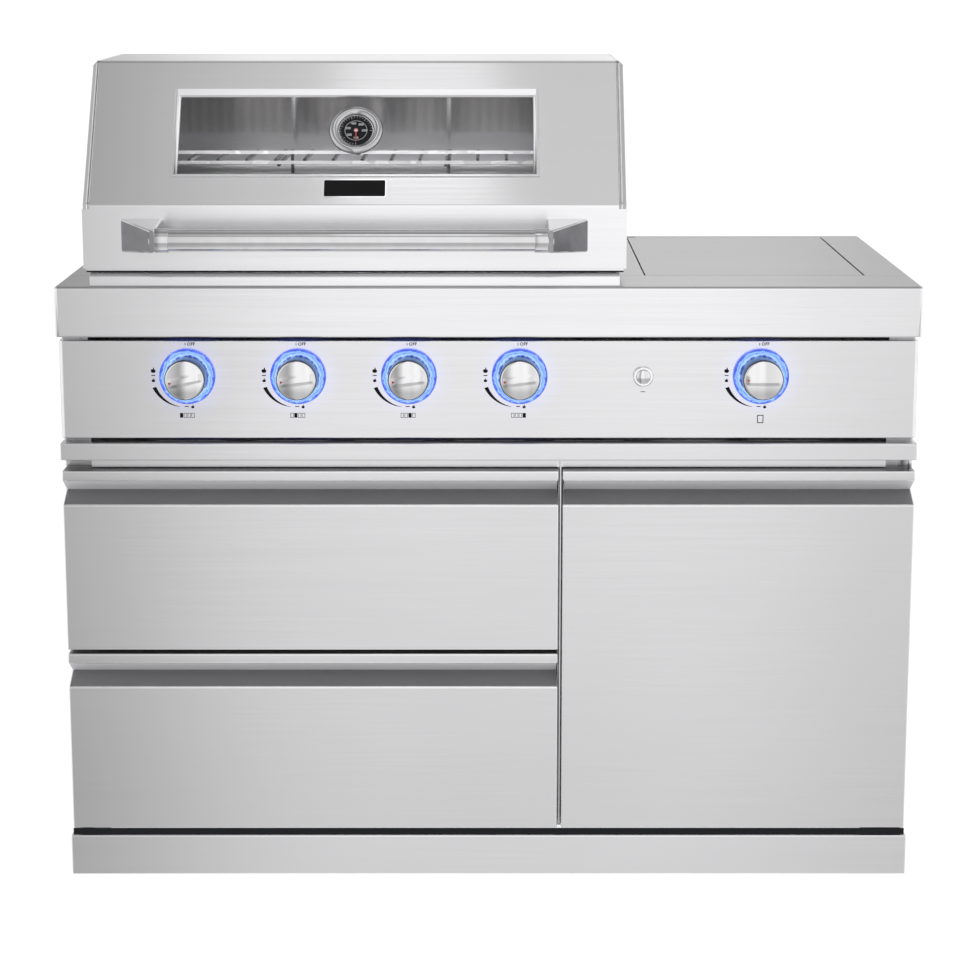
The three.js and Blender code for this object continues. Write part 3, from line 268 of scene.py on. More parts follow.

# Rubbed folds and edges; on the rounded folds of brushed steel the near-white colour is partly rubbed
# wear and partly a painted highlight
WEAR_AND_SHEEN_SCALE = 60
WEAR_AND_SHEEN_COLOUR = (0.97, 0.97, 0.98)
FOLD_WEAR_AND_SHEEN = (0.7, 1.0)
EDGE_SPAN = (0.53, 0.62)

# Surfaces with an even grain
PATCH_SCALE = 14
SPECKLE_SPREAD = (-0.04, 0.05)
SPECKLE_DEPTH = 0.0004
SMOOTHEST = 0.02
INK = {"wear": 0.0, "Specular IOR Level": 0.1}

# Window glass
SMEAR_SCALE = 9
SMEAR_ROUGHNESS = (0.02, 0.06)

# Light in the rings, by the distance from their middle, with a painted shadow of the knob at the
# inner edge and painted highlights in its streaks, and a painted glow on the sheet round them
RING_COLOUR = (0.08, 0.10, 0.20)
RING_STREAKS = 150
RING_WANDER = 0.14
HALO_RADII = (29, 42)
HALO_STOPS = (
    # First two stops, at the knob's edge: painted shadow of the knob
    (0.0, (0.03, 0.05, 0.20)),
    (0.14, (0.05, 0.12, 0.62)),
    (0.34, (0.50, 0.74, 1.0)),
    (0.52, (0.14, 0.34, 0.98)),
    (0.70, (0.42, 0.64, 1.0)),
    (0.84, (0.08, 0.19, 0.92)),
    (1.0, (0.03, 0.07, 0.62)),
)
# Painted glow of the rings on the panel sheet: reach, fall-off, strength and colour
GLOW_REACH = (41, 78)
GLOW_FADE = 2.0
GLOW_STRENGTH = 0.16
GLOW_COLOUR = (0.12, 0.2, 1.0)


def link(tree, source, target):
    tree.links.new(source, target)


def add(tree, kind, inputs=None, **settings):
    node = tree.nodes.new(kind)
    for key, value in settings.items():
        setattr(node, key, value)
    for key, value in (inputs or {}).items():
        if isinstance(value, bpy.types.NodeSocket):
            link(tree, value, node.inputs[key])
        else:
            node.inputs[key].default_value = value
    return node


def rgba(colour):
    """Four numbers from a colour or from a grey tone; a socket stays as it is."""
    if isinstance(colour, bpy.types.NodeSocket):
        return colour
    return (*colour, 1) if isinstance(colour, tuple) else (colour, colour, colour, 1)


def ramp(tree, source, stops):
    node = add(tree, "ShaderNodeValToRGB", {"Fac": source})
    elements = node.color_ramp.elements
    while len(elements) < len(stops):
        elements.new(1)
    for element, (at, colour) in zip(elements, stops):
        element.position = at
        element.color = rgba(colour)
    return node.outputs["Color"]


def mixed(tree, factor, first, second, **settings):
    inputs = {0: factor, 6: rgba(first), 7: rgba(second)}
    return add(tree, "ShaderNodeMix", inputs, data_type="RGBA", **settings).outputs[2]


def maths(tree, operation, first, second):
    return add(tree, "ShaderNodeMath", {0: first, 1: second}, operation=operation).outputs[0]


def ranged(tree, source, low, high, span=NOISE_SPAN):
    """Maps a span of the source's values to the values from low to high."""
    inputs = {
        "Value": source, "From Min": span[0], "From Max": span[1], "To Min": low, "To Max": high,
    }
    return add(tree, "ShaderNodeMapRange", inputs).outputs["Result"]


def object_place(tree):
    return add(tree, "ShaderNodeTexCoord").outputs["Object"]


def noise(tree, scale, detail=4.0, distortion=0.0):
    """Noise with one scale, or with a tuple of scales along the axes."""
    scales = scale if isinstance(scale, tuple) else (scale, scale, scale)
    mapped = add(tree, "ShaderNodeMapping", {"Vector": object_place(tree), "Scale": scales})
    inputs = {"Scale": 1.0, "Detail": detail, "Distortion": distortion}
    inputs["Vector"] = mapped.outputs["Vector"]
    return add(tree, "ShaderNodeTexNoise", inputs).outputs["Fac"]


def along_axis(axis, fine, along):
    return tuple(along if letter == axis else fine for letter in "xyz")


def shades(colour, less, more):
    """A darker and a lighter shade of a colour."""
    dark = tuple(value * (1 - less) for value in colour)
    return dark, tuple(min(value * (1 + more), 1) for value in colour)


def shader_of(name, colour, metallic, roughness, **sockets):
    look = bpy.data.materials.new(name)
    look.use_nodes = True
    look.diffuse_color = (*colour, 1)
    shader = look.node_tree.nodes["Principled BSDF"]
    shader.inputs["Base Color"].default_value = (*colour, 1)
    shader.inputs["Metallic"].default_value = metallic
    shader.inputs["Roughness"].default_value = roughness
    for key, value in sockets.items():
        shader.inputs[key].default_value = value
    return look, look.node_tree, shader


def wear_and_sheen(tree, colour, where, least, most):
    """Brightens a colour in patches where the surface is rubbed; on the folds of brushed steel this
    is partly a painted highlight.
    """
    patches = ranged(tree, noise(tree, WEAR_AND_SHEEN_SCALE, 3.0), least, most)
    return mixed(tree, maths(tree, "MULTIPLY", patches, where), colour, WEAR_AND_SHEEN_COLOUR)


def bumped(tree, shader, height, relief, depth):
    bump = add(tree, "ShaderNodeBump", {"Height": height, "Strength": relief, "Distance": depth})
    link(tree, bump.outputs["Normal"], shader.inputs["Normal"])


def brushed(name, tone, roughness=0.22, axis="x", streak=0.012, relief=0.01, anisotropy=0.8):
    """Brushed stainless: scratches along one axis, clouds, folds lightened as rubbed wear and as a
    painted highlight, and a spread highlight.
    """
    colour = tuple(tone * tint for tint in STEEL_TINT)
    sockets = {"Anisotropic": anisotropy, "Anisotropic Rotation": QUARTER_TURN}
    look, tree, shader = shader_of(name, colour, 1.0, roughness, **sockets)
    scratches = noise(tree, along_axis(axis, GRAIN_FINE, GRAIN_ALONG), 2.0)
    streaks = noise(tree, along_axis(axis, STREAK_FINE, STREAK_ALONG), 3.0)
    clouds = maths(tree, "ADD", scratches, noise(tree, CLOUD_SCALE, 2.0, 0.6))
    cloudy = ranged(tree, clouds, 0.0, 1.0, CLOUD_SPAN)
    body = mixed(tree, cloudy, *shades(colour, 2 * streak, streak))
    # Rounded folds are lightened towards near white: rubbed wear and a painted highlight along the
    # fold
    folds = add(tree, "ShaderNodeAttribute", attribute_name="wear_and_sheen").outputs["Fac"]
    link(tree, wear_and_sheen(tree, body, folds, *FOLD_WEAR_AND_SHEEN), shader.inputs["Base Color"])
    low, high = (roughness + change for change in STEEL_SPREAD)
    link(tree, ranged(tree, streaks, low, high), shader.inputs["Roughness"])
    bumped(tree, shader, scratches, relief, SCRATCH_DEPTH)
    tangent = add(tree, "ShaderNodeTangent", direction_type="UV_MAP", uv_map="grain")
    link(tree, tangent.outputs["Tangent"], shader.inputs["Tangent"])
    return look


def speckled(
    name, colour, metallic, roughness, scale, relief=0.1, variation=0.08, wear=0.2, **sockets
):
    """A surface with fine, even grain: polished or cast metal, enamel, paint or ink."""
    look, tree, shader = shader_of(name, colour, metallic, roughness, **sockets)
    patches = noise(tree, PATCH_SCALE, 3.0)
    body = mixed(tree, ranged(tree, patches, 0.0, 1.0), *shades(colour, variation, variation))
    edges = add(tree, "ShaderNodeNewGeometry").outputs["Pointiness"]
    rubbed = ranged(tree, edges, 0.0, 1.0, EDGE_SPAN)
    link(tree, wear_and_sheen(tree, body, rubbed, 0.0, wear), shader.inputs["Base Color"])
    low, high = (roughness + change for change in SPECKLE_SPREAD)
    link(tree, ranged(tree, patches, max(low, SMOOTHEST), high), shader.inputs["Roughness"])
    bumped(tree, shader, noise(tree, scale), relief, SPECKLE_DEPTH)
    return look


def lit_ring(name, radii, stops, strength):
    """Streaky light that changes with the distance from the ring's own middle; its dark inner edge is
    a painted shadow of the knob and its streaks are painted highlights.
    """
    look, tree, shader = shader_of(name, RING_COLOUR, 0.0, 0.22)
    parts = add(tree, "ShaderNodeSeparateXYZ", {"Vector": object_place(tree)}).outputs
    flat = add(tree, "ShaderNodeCombineXYZ", {"X": parts["X"], "Y": parts["Z"]})
    reach = add(tree, "ShaderNodeVectorMath", {0: flat.outputs["Vector"]}, operation="LENGTH")
    span = [radius * MM for radius in radii]
    share = ranged(tree, reach.outputs["Value"], 0.0, 1.0, span)
    # Noise streaks in the light: painted highlights
    wander = ranged(tree, noise(tree, RING_STREAKS, 3.0), -RING_WANDER, RING_WANDER)
    light = ramp(tree, maths(tree, "ADD", share, wander), stops)
    link(tree, light, shader.inputs["Emission Color"])
    shader.inputs["Emission Strength"].default_value = strength
    return look


def ring_glow(look, middles):
    """Painted glow: blue emission on the sheet round the rings, standing for the light that spills
    from them.
    """
    tree = look.node_tree
    place = object_place(tree)
    span = [radius * MM for radius in GLOW_REACH]
    total = 0.0
    for middle in middles:
        reach = add(tree, "ShaderNodeVectorMath", {0: place, 1: middle}, operation="DISTANCE")
        share = ranged(tree, reach.outputs["Value"], 1.0, 0.0, span)
        total = maths(tree, "MAXIMUM", share, total)
    soft = maths(tree, "POWER", total, GLOW_FADE)
    shader = tree.nodes["Principled BSDF"]
    shader.inputs["Emission Color"].default_value = (*GLOW_COLOUR, 1)
    strength = maths(tree, "MULTIPLY", soft, GLOW_STRENGTH)
    link(tree, strength, shader.inputs["Emission Strength"])


def smoked_glass(name, colour, alpha):
    look, tree, shader = shader_of(name, colour, 0.0, 0.04, Alpha=alpha, IOR=1.5)
    smear = ranged(tree, noise(tree, SMEAR_SCALE, 3.0), *SMEAR_ROUGHNESS)
    link(tree, smear, shader.inputs["Roughness"])
    return look


steel_front = brushed("steel_front", 0.80)
steel_plinth = brushed("steel_plinth", 0.86)
steel_panel = brushed("steel_panel", 0.84)
steel_rail = brushed("steel_rail", 0.82)
steel_trim = brushed("steel_trim", 0.88, roughness=0.18)
steel_apron = brushed("steel_apron", 0.92, roughness=0.24)
# Painted shade: a darker copy of the steel for the worktop's upward faces
steel_top_shade = brushed("steel_top_shade", 0.62, roughness=0.3)
steel_band = brushed("steel_band", 0.92, roughness=0.22)
# Copies of the hood's steel toned by how light falls on them: painted shade on the slope, painted
# light on the top
steel_slope_shade = brushed("steel_slope_shade", 0.84, roughness=0.32)
steel_crown_lit = brushed("steel_crown_lit", 0.90)
# Painted shade: the same darker steel for the side lid, which faces up
steel_lid_shade = brushed("steel_lid_shade", 0.63, roughness=0.32)
# Painted shade and painted highlight: a dark copy of the front steel for the pull's recess and the
# fronts' top edges, and a lighter, rougher copy for the pull's down-facing face
steel_recess_shade = brushed("steel_recess_shade", 0.34, roughness=0.36)
steel_pull_lit = brushed("steel_pull_lit", 0.92, roughness=0.8, anisotropy=0.2)
steel_side = brushed("steel_side", 0.76, axis="y")
steel_inner = brushed("steel_inner", 0.66, roughness=0.34, streak=0.03)
# Painted shade: darker copies of the steel for the hood's end caps and their inward faces
steel_cap_inside_shade = brushed("steel_cap_inside_shade", 0.34, roughness=0.4, streak=0.04)
steel_cap_shade = brushed("steel_cap_shade", 0.48, roughness=0.3, axis="y")
chrome = speckled(
    "chrome", (0.86, 0.86, 0.87), 1.0, 0.08, 40, relief=0.01, variation=0.02
)
grey_chrome = speckled(
    "chrome_grey", (0.30, 0.30, 0.31), 1.0, 0.12, 60, relief=0.02, variation=0.04
)
dark_chrome = speckled(
    "chrome_dark", (0.16, 0.16, 0.17), 1.0, 0.16, 60, relief=0.02, variation=0.04
)
bar_chrome = speckled(
    "chrome_bar", (0.70, 0.70, 0.71), 1.0, 0.12, 60, relief=0.02, variation=0.02
)
ring_chrome = speckled(
    "chrome_ring", (0.56, 0.56, 0.57), 1.0, 0.12, 60, relief=0.02, variation=0.04
)
knob_chrome = speckled(
    "chrome_knob", (0.84, 0.84, 0.85), 1.0, 0.1, 60, relief=0.01, variation=0.02
)
zinc = speckled("zinc", (0.50, 0.51, 0.53), 0.9, 0.42, 500)
wire = speckled("wire_nickel", (0.80, 0.80, 0.81), 0.3, 0.25, 300, relief=0.03, variation=0.04)
iron = speckled("cast_iron", (0.035, 0.035, 0.037), 0.2, 0.5, 800, relief=0.5, variation=0.25)
brass = speckled("brass", (0.62, 0.44, 0.19), 1.0, 0.32, 500, relief=0.08)
burner_steel = speckled("burner_steel", (0.46, 0.44, 0.42), 1.0, 0.38, 600)
black_ink = speckled(
    "black_ink", (0.012, 0.012, 0.013), 0.0, 0.6, 2000, relief=0.02, variation=0.1, **INK
)
dial_black = speckled(
    "dial_black", (0.022, 0.023, 0.026), 0.0, 0.5, 1500, relief=0.03, variation=0.1, **INK
)
plate_black = speckled(
    "plate_black", (0.012, 0.012, 0.013), 0.0, 0.5, 1200, relief=0.02, variation=0.06, **INK
)
dial_white = speckled(
    "dial_white", (0.66, 0.67, 0.68), 0.0, 0.5, 1500, relief=0.02, variation=0.04
)
red_paint = speckled(
    "red_paint", (0.55, 0.03, 0.035), 0.0, 0.3, 900, relief=0.02, variation=0.06
)
pane = smoked_glass("window_pane", (0.05, 0.052, 0.055), 0.22)
halo = lit_ring("halo_light", HALO_RADII, HALO_STOPS, 1.0)


# Meshes


def new_object(name, data):
    made = bpy.data.objects.new(name, data)
    scene.collection.objects.link(made)
    return made


def finished(name, bm, body, look, place=None, origin=None):
    """Makes a smooth piece that rides on a body; place is the frame that its mesh was drawn in."""
    bmesh.ops.recalc_face_normals(bm, faces=bm.faces)
    mesh = bpy.data.meshes.new(name)
    bm.to_mesh(mesh)
    bm.free()
    if place is not None:
        mesh.transform(place)
    mesh.materials.append(look)
    for polygon in mesh.polygons:
        polygon.use_smooth = True
    mesh.set_sharp_from_angle(angle=math.radians(SHARP_ANGLE))
    piece = new_object(name, mesh)
    if origin is not None:
        piece.matrix_world = Matrix.Translation(origin)
    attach(piece, body)
    return piece


def weighted(piece):
    modifier = piece.modifiers.new("weighted", "WEIGHTED_NORMAL")
    modifier.keep_sharp = True
    modifier.weight = NORMAL_WEIGHT
    return piece


def map_grain(mesh, axis):
    """A flat map whose first direction follows the brushing, for the streaked highlight."""
    layer = mesh.uv_layers.new(name="grain")
    along = "xyz".index(axis)
    for polygon in mesh.polygons:
        sides = sorted(range(3), key=lambda i: abs(polygon.normal[i]))[:2]
        first = along if along in sides else sides[0]
        second = sides[1] if first == sides[0] else sides[0]
        for index in polygon.loop_indices:
            place = mesh.vertices[mesh.loops[index].vertex_index].co
            layer.data[index].uv = (place[first], place[second])


def face_width(face):
    around = face.calc_perimeter()
    return 2 * face.calc_area() / around if around else 0.0


def convex_edges(bm, least):
    """Edges that stick out between two faces which are wide enough to be rounded."""
    chosen = []
    for edge in bm.edges:
        if len(edge.link_faces) != 2:
            continue
        if edge.calc_face_angle_signed(0.0) < math.radians(CONVEX_ANGLE):
            continue
        if min(face_width(face) for face in edge.link_faces) >= least:
            chosen.append(edge)
    return chosen


def rounded(bm, radius, edges):
    """Rounds the edges and marks their new faces for rubbed wear and a painted highlight."""
    mark = bm.faces.layers.float.new("wear_and_sheen")
    made = bmesh.ops.bevel(
        bm,
        geom=edges,
        offset=radius,
        offset_type="OFFSET",
        segments=ROUND_STEPS,
        profile=0.5,
        affect="EDGES",
        clamp_overlap=False,
    )
    for face in made["faces"]:
        face[mark] = 1.0


def dressed(node, look, radius=SHEET_ROUND, axis="x", least=None, sides=()):
    """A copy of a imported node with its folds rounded, which stands for that node.

    sides lists (test of a face, material) for the faces that look different.
    """
    bm = bmesh.new()
    bm.from_mesh(nodes[node].data)
    bmesh.ops.remove_doubles(bm, verts=bm.verts, dist=MERGE * MM)
    flat = math.radians(FLAT_ANGLE)
    bmesh.ops.dissolve_limit(
        bm, angle_limit=flat, verts=bm.verts, edges=bm.edges, delimit={"NORMAL"}
    )
    bmesh.ops.recalc_face_normals(bm, faces=bm.faces)
    edges = convex_edges(bm, (least or FOLD_LEAST * radius) * MM) if radius else []
    if edges:
        rounded(bm, radius * MM, edges)
    piece = finished(node + "_dressed", bm, body_of[node], look)
    folds = piece.data.attributes.get("wear_and_sheen")
    for index, (test, material) in enumerate(sides, start=1):
        piece.data.materials.append(material)
        for polygon in piece.data.polygons:
            if test(polygon) and not (folds and folds.data[polygon.index].value):
                polygon.material_index = index
    map_grain(piece.data, axis)
    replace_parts(piece, node)
    return weighted(piece)


def smoothed(node, look):
    return dressed(node, look, radius=None)


def bridge(bm, first, second):
    """Faces between two loops of equally many vertices."""
    count = len(first)
    for i in range(count):
        j = (i + 1) % count
        bm.faces.new((first[i], first[j], second[j], second[i]))


def turned(profile, sides):
    """A mesh turned round the local Y axis from a [radius, depth] profile in millimetres."""
    bm = bmesh.new()
    rings = []
    for radius, depth in profile:
        turns = [2 * math.pi * i / sides for i in range(sides if radius > AXIS_RADIUS else 1)]
        places = [
            (radius * math.cos(turn) * MM, depth * MM, radius * math.sin(turn) * MM)
            for turn in turns
        ]
        rings.append([bm.verts.new(place) for place in places])
    for first, second in zip(rings, rings[1:]):
        if len(first) == len(second):
            bridge(bm, first, second)
            continue
        for i in range(sides):
            j = (i + 1) % sides
            if len(first) == 1:
                bm.faces.new((first[0], second[i], second[j]))
            else:
                bm.faces.new((first[i], first[j], second[0]))
    bmesh.ops.remove_doubles(bm, verts=bm.verts, dist=SEAM * MM)
    return bm


def arc(centre, radii, start, stop, steps=ARC_STEPS):
    """Points of an ellipse's arc, with angles in degrees."""
    points = []
    for i in range(steps + 1):
        angle = math.radians(start + (stop - start) * i / steps)
        x, z = radii[0] * math.cos(angle), radii[1] * math.sin(angle)
        points.append((centre[0] + x, centre[1] + z))
    return points


def prism(near, far, bm=None):
    """Joins two outlines of equally many places into a closed solid."""
    if bm is None:
        bm = bmesh.new()
    near, far = ([bm.verts.new(place) for place in outline] for outline in (near, far))
    bm.faces.new(near)
    bm.faces.new(list(reversed(far)))
    bridge(bm, far, near)
    return bm


def slab(outline, front, thick, bm=None):
    """A flat plate from an [x, z] outline in metres, facing the front."""
    return prism(*([(x, y, z) for x, z in outline] for y in (front, front + thick)), bm)


def framed(outer, inner, front, thick, bm=None):
    """A flat ring between two outlines of equally many corners."""
    if bm is None:
        bm = bmesh.new()
    back = front + thick
    rows = [
        [bm.verts.new((x, y, z)) for x, z in outline]
        for outline, y in ((outer, front), (inner, front), (inner, back), (outer, back))
    ]
    for first, second in zip(rows, [*rows[1:], rows[0]]):
        bridge(bm, first, second)
    return bm


def between(left, right, bottom, top):
    return [(left, bottom), (right, bottom), (right, top), (left, top)]


def rectangle(centre, size):
    (x, z), (width, height) = centre, size
    return between(x - width / 2, x + width / 2, z - height / 2, z + height / 2)


def soft_rectangle(centre, size, radius):
    """A rectangle's outline with rounded corners, counter-clockwise from its lower left."""
    points = []
    corners = rectangle(centre, (size[0] - 2 * radius, size[1] - 2 * radius))
    for quarter, corner in enumerate(corners):
        start = 180 + 90 * quarter
        points.extend(arc(corner, (radius, radius), start, start + 90, CORNER_STEPS))
    return points


def scaled(outline, origin=(0, 0)):
    return [(origin[0] + x * MM, origin[1] + z * MM) for x, z in outline]


def middle_of(node):
    low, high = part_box(node)
    return (low + high) / 2


def eased(value):
    """A soft step from 0 to 1."""
    share = min(max(value, 0), 1)
    return share * share * (3 - 2 * share)


# Knobs and their lit rings


def knob(index):
    """Domed cup with a soft grip ridge across its face and a red mark at one end of it."""
    node = f"knob_{index + 1}"
    low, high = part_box(node)
    middle = middle_of(node)
    radius = (high.x - low.x) / 2 / MM
    depth = (high.y - low.y) / MM
    face = RIDGE_RISE + FACE_SETBACK
    reach = radius - KNOB_EDGE
    inner = radius - KNOB_WALL
    crown = []
    for ring_step in range(1, FACE_RINGS + 1):
        share = 1 - ring_step / FACE_RINGS
        crown.append((reach * share, face - KNOB_CROWN * (1 - share * share)))
    profile = [
        (0, depth - KNOB_HOLLOW), (inner, depth - KNOB_HOLLOW), (inner, depth),
        (radius - FACE_SETBACK, depth), (radius, depth - FACE_SETBACK),
        *arc((reach, face + KNOB_EDGE), (KNOB_EDGE, KNOB_EDGE), 0, -90), *crown,
    ]
    bm = turned(profile, TURN_SIDES)
    for vert in bm.verts:
        x, y, z = vert.co / MM
        if y > face + KNOB_EDGE / 2:
            continue
        across = eased((abs(z) - RIDGE_HALF + RIDGE_SOFT / 2) / RIDGE_SOFT)
        end = eased((math.hypot(x, z) - reach + RIDGE_END) / RIDGE_END)
        vert.co.y -= (RIDGE_RISE - KNOB_CROWN) * (1 - across) * (1 - end) * MM
    place = Matrix.Translation((middle.x, low.y, middle.z))
    place = place @ Matrix.Rotation(-math.radians(KNOB_TURNS[index]), 4, "Y")
    cup = finished(f"{node}_cup", bm, node, knob_chrome, place)
    # Painted shade: the knob's rim takes darker chrome, a dark outline at its edge
    cup.data.materials.append(dark_chrome)
    for polygon in cup.data.polygons:
        x, _, z = polygon.center - middle
        if math.hypot(x, z) / MM > radius - KNOB_EDGE / 2:
            polygon.material_index = 1
    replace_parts(cup, node)
    size = MARKER_SIZE
    outline = [(MARKER_PLACE - size, -size), (MARKER_PLACE + size, 0), (MARKER_PLACE - size, size)]
    mark = slab(scaled(outline), (face - MARKER_SINK) * MM, MARKER_THICK * MM)
    finished(f"{node}_mark", mark, node, red_paint, place=place)


def ring(index):
    """Dished lit ring; its origin is its own middle, from which its light is measured."""
    node = f"bezel_{index + 1}"
    low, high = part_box(node)
    radius = (high.x - low.x) / 2 / MM
    rear = (high.y - low.y) / 2 / MM
    front = -rear
    floor = rear - RING_FLOOR
    half = RING_RIM / 2
    profile = [
        (RING_BORE, rear), (radius, rear),
        *arc((radius - half, front + half), (half, half), 0, -180),
        (radius - RING_RIM - RING_SLOPE, front + RING_RIM), (RING_DISH, floor),
        (RING_BORE, floor), (RING_BORE, rear),
    ]
    bm = turned(profile, TURN_SIDES)
    piece = finished(f"{node}_halo", bm, "cabinet", halo, origin=middle_of(node))
    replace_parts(piece, node)


# Printed marks

FLAME_SHAPE = (
    (0, -0.5), (0.3, -0.42), (0.42, -0.15), (0.36, 0.08), (0.22, -0.02), (0.2, 0.22),
    (0.02, 0.5), (-0.02, 0.2), (-0.16, 0.08), (-0.3, 0.14), (-0.42, -0.15), (-0.3, -0.42),
)


def flame(centre, size):
    return [(centre[0] + x * size, centre[1] + z * size) for x, z in FLAME_SHAPE]


def tapered_arc():
    steps = 3 * ARC_STEPS
    outer, inner = [], []
    for i in range(steps + 1):
        share = i / steps
        angle = math.radians(ARC_START + (ARC_END - ARC_START) * share)
        middle = ARC_RADII[0] + (ARC_RADII[1] - ARC_RADII[0]) * share
        half = ARC_WIDTH / 2 * (1 - share) + ARC_TAIL
        for side, radius in ((outer, middle + half), (inner, middle - half)):
            side.append((radius * math.cos(angle), radius * math.sin(angle)))
    return outer + inner[::-1]


def outlined(centre, size, line, origin, front, bm):
    """The edge of a rectangle, printed as a line."""
    outer = scaled(rectangle(centre, size), origin)
    inner = scaled(rectangle(centre, (size[0] - 2 * line, size[1] - 2 * line)), origin)
    framed(outer, inner, front, PRINT_THICK * MM, bm)


def letters(name, words, height, place, look, body):
    """Flat lettering that faces the front of the frame it is placed in."""
    curve = bpy.data.curves.new(name, "FONT")
    curve.body = words
    curve.size = height * MM * FONT_SCALE
    curve.align_x = "CENTER"
    curve.align_y = "CENTER"
    curve.extrude = PRINT_THICK * MM / 2
    curve.offset = height * MM * LETTER_WEIGHT
    curve.resolution_u = LETTER_STEPS
    text = new_object(name, curve)
    evaluated = text.evaluated_get(bpy.context.evaluated_depsgraph_get())
    mesh = bpy.data.meshes.new_from_object(evaluated)
    bpy.data.objects.remove(text)
    mesh.transform(place @ Matrix.Rotation(math.radians(90), 4, "X"))
    mesh.materials.clear()
    mesh.materials.append(look)
    piece = new_object(name, mesh)
    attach(piece, body)


def print_front():
    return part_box("control_panel")[0].y - (PRINT_LIFT + PRINT_THICK) * MM


def printed_marks(index):
    """Tick, flames, tapered arc and burner squares round one knob, as thin ink on the panel."""
    middle = middle_of(f"bezel_{index + 1}")
    origin = (middle.x, middle.z)
    front = print_front()
    thick = PRINT_THICK * MM
    outlines = [rectangle(MARK_TICK_PLACE, MARK_TICK_SIZE)]
    outlines += [flame(place, size) for place, size in FLAMES]
    outlines += [rectangle(place, DASH_SIZE) for place in DASHES]
    bm = bmesh.new()
    for outline in (*outlines, tapered_arc()):
        slab(scaled(outline, origin), front, thick, bm)
    if index < SQUARE_COUNT:
        for square in range(SQUARE_COUNT):
            shift = (square - (SQUARE_COUNT - 1) / 2) * SQUARE_PITCH
            place = (SQUARES_PLACE[0] + shift, SQUARES_PLACE[1])
            if square == index:
                slab(scaled(rectangle(place, SQUARE_SIZE), origin), front, thick, bm)
            else:
                outlined(place, SQUARE_SIZE, SQUARE_LINE, origin, front, bm)
    else:
        outlined(SIDE_MARK_PLACE, SIDE_MARK_SIZE, SIDE_MARK_LINE, origin, front, bm)
    finished(f"marks_{index + 1}", bm, "cabinet", black_ink)
    x, z = scaled([OFF_PLACE], origin)[0]
    place = Matrix.Translation((x, front + thick / 2, z))
    letters(f"off_{index + 1}", "OFF", OFF_HEIGHT, place, black_ink, "cabinet")


def switch():
    """Polished ring and domed button, with a small mark printed under them."""
    middle = middle_of("switch_body")
    low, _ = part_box("switch_body")
    half = (SWITCH_RING - SWITCH_BORE) / 2
    profile = [
        (SWITCH_RING, SWITCH_PROUD), *arc((SWITCH_BORE + half, half), (half, half), 0, -180),
        (SWITCH_BORE, SWITCH_PROUD), (SWITCH_RING, SWITCH_PROUD),
    ]
    place = Matrix.Translation((middle.x, low.y, middle.z))
    finished("switch_ring", turned(profile, SMALL_SIDES), "cabinet", chrome, place=place)
    low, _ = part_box("switch_button")
    dome = arc((0, BUTTON_DOME), (BUTTON_RADIUS, BUTTON_DOME), 0, -90)[:-1]
    profile = [(0, BUTTON_SKIRT), (BUTTON_RADIUS, BUTTON_SKIRT), *dome, (0, 0)]
    place = Matrix.Translation((middle.x, low.y, middle.z))
    finished("button_dome", turned(profile, SMALL_SIDES), "light_button", knob_chrome, place=place)
    outline = scaled(rectangle(SWITCH_MARK_PLACE, SWITCH_MARK_SIZE), (middle.x, middle.z))
    mark = slab(outline, print_front(), PRINT_THICK * MM)
    finished("switch_mark", mark, "cabinet", black_ink)


# Thermometer and plate on the hood's slope


def slope_frame():
    """The frame at the middle of the dial: X across, Y into the hood, Z up its slope."""
    pivot = joints["thermometer_pivot"]
    into = Vector(pivot["axis"]).normalized()
    across = Vector((1, 0, 0))
    place = Matrix((across, into, across.cross(into))).transposed().to_4x4()
    place.translation = Vector(pivot["pos_m"])
    return place


def dial_spot(share, radius):
    """A place on the dial, clockwise from straight down."""
    angle = math.radians(DIAL_SWEEP * share)
    return (-radius * math.sin(angle), -radius * math.cos(angle))


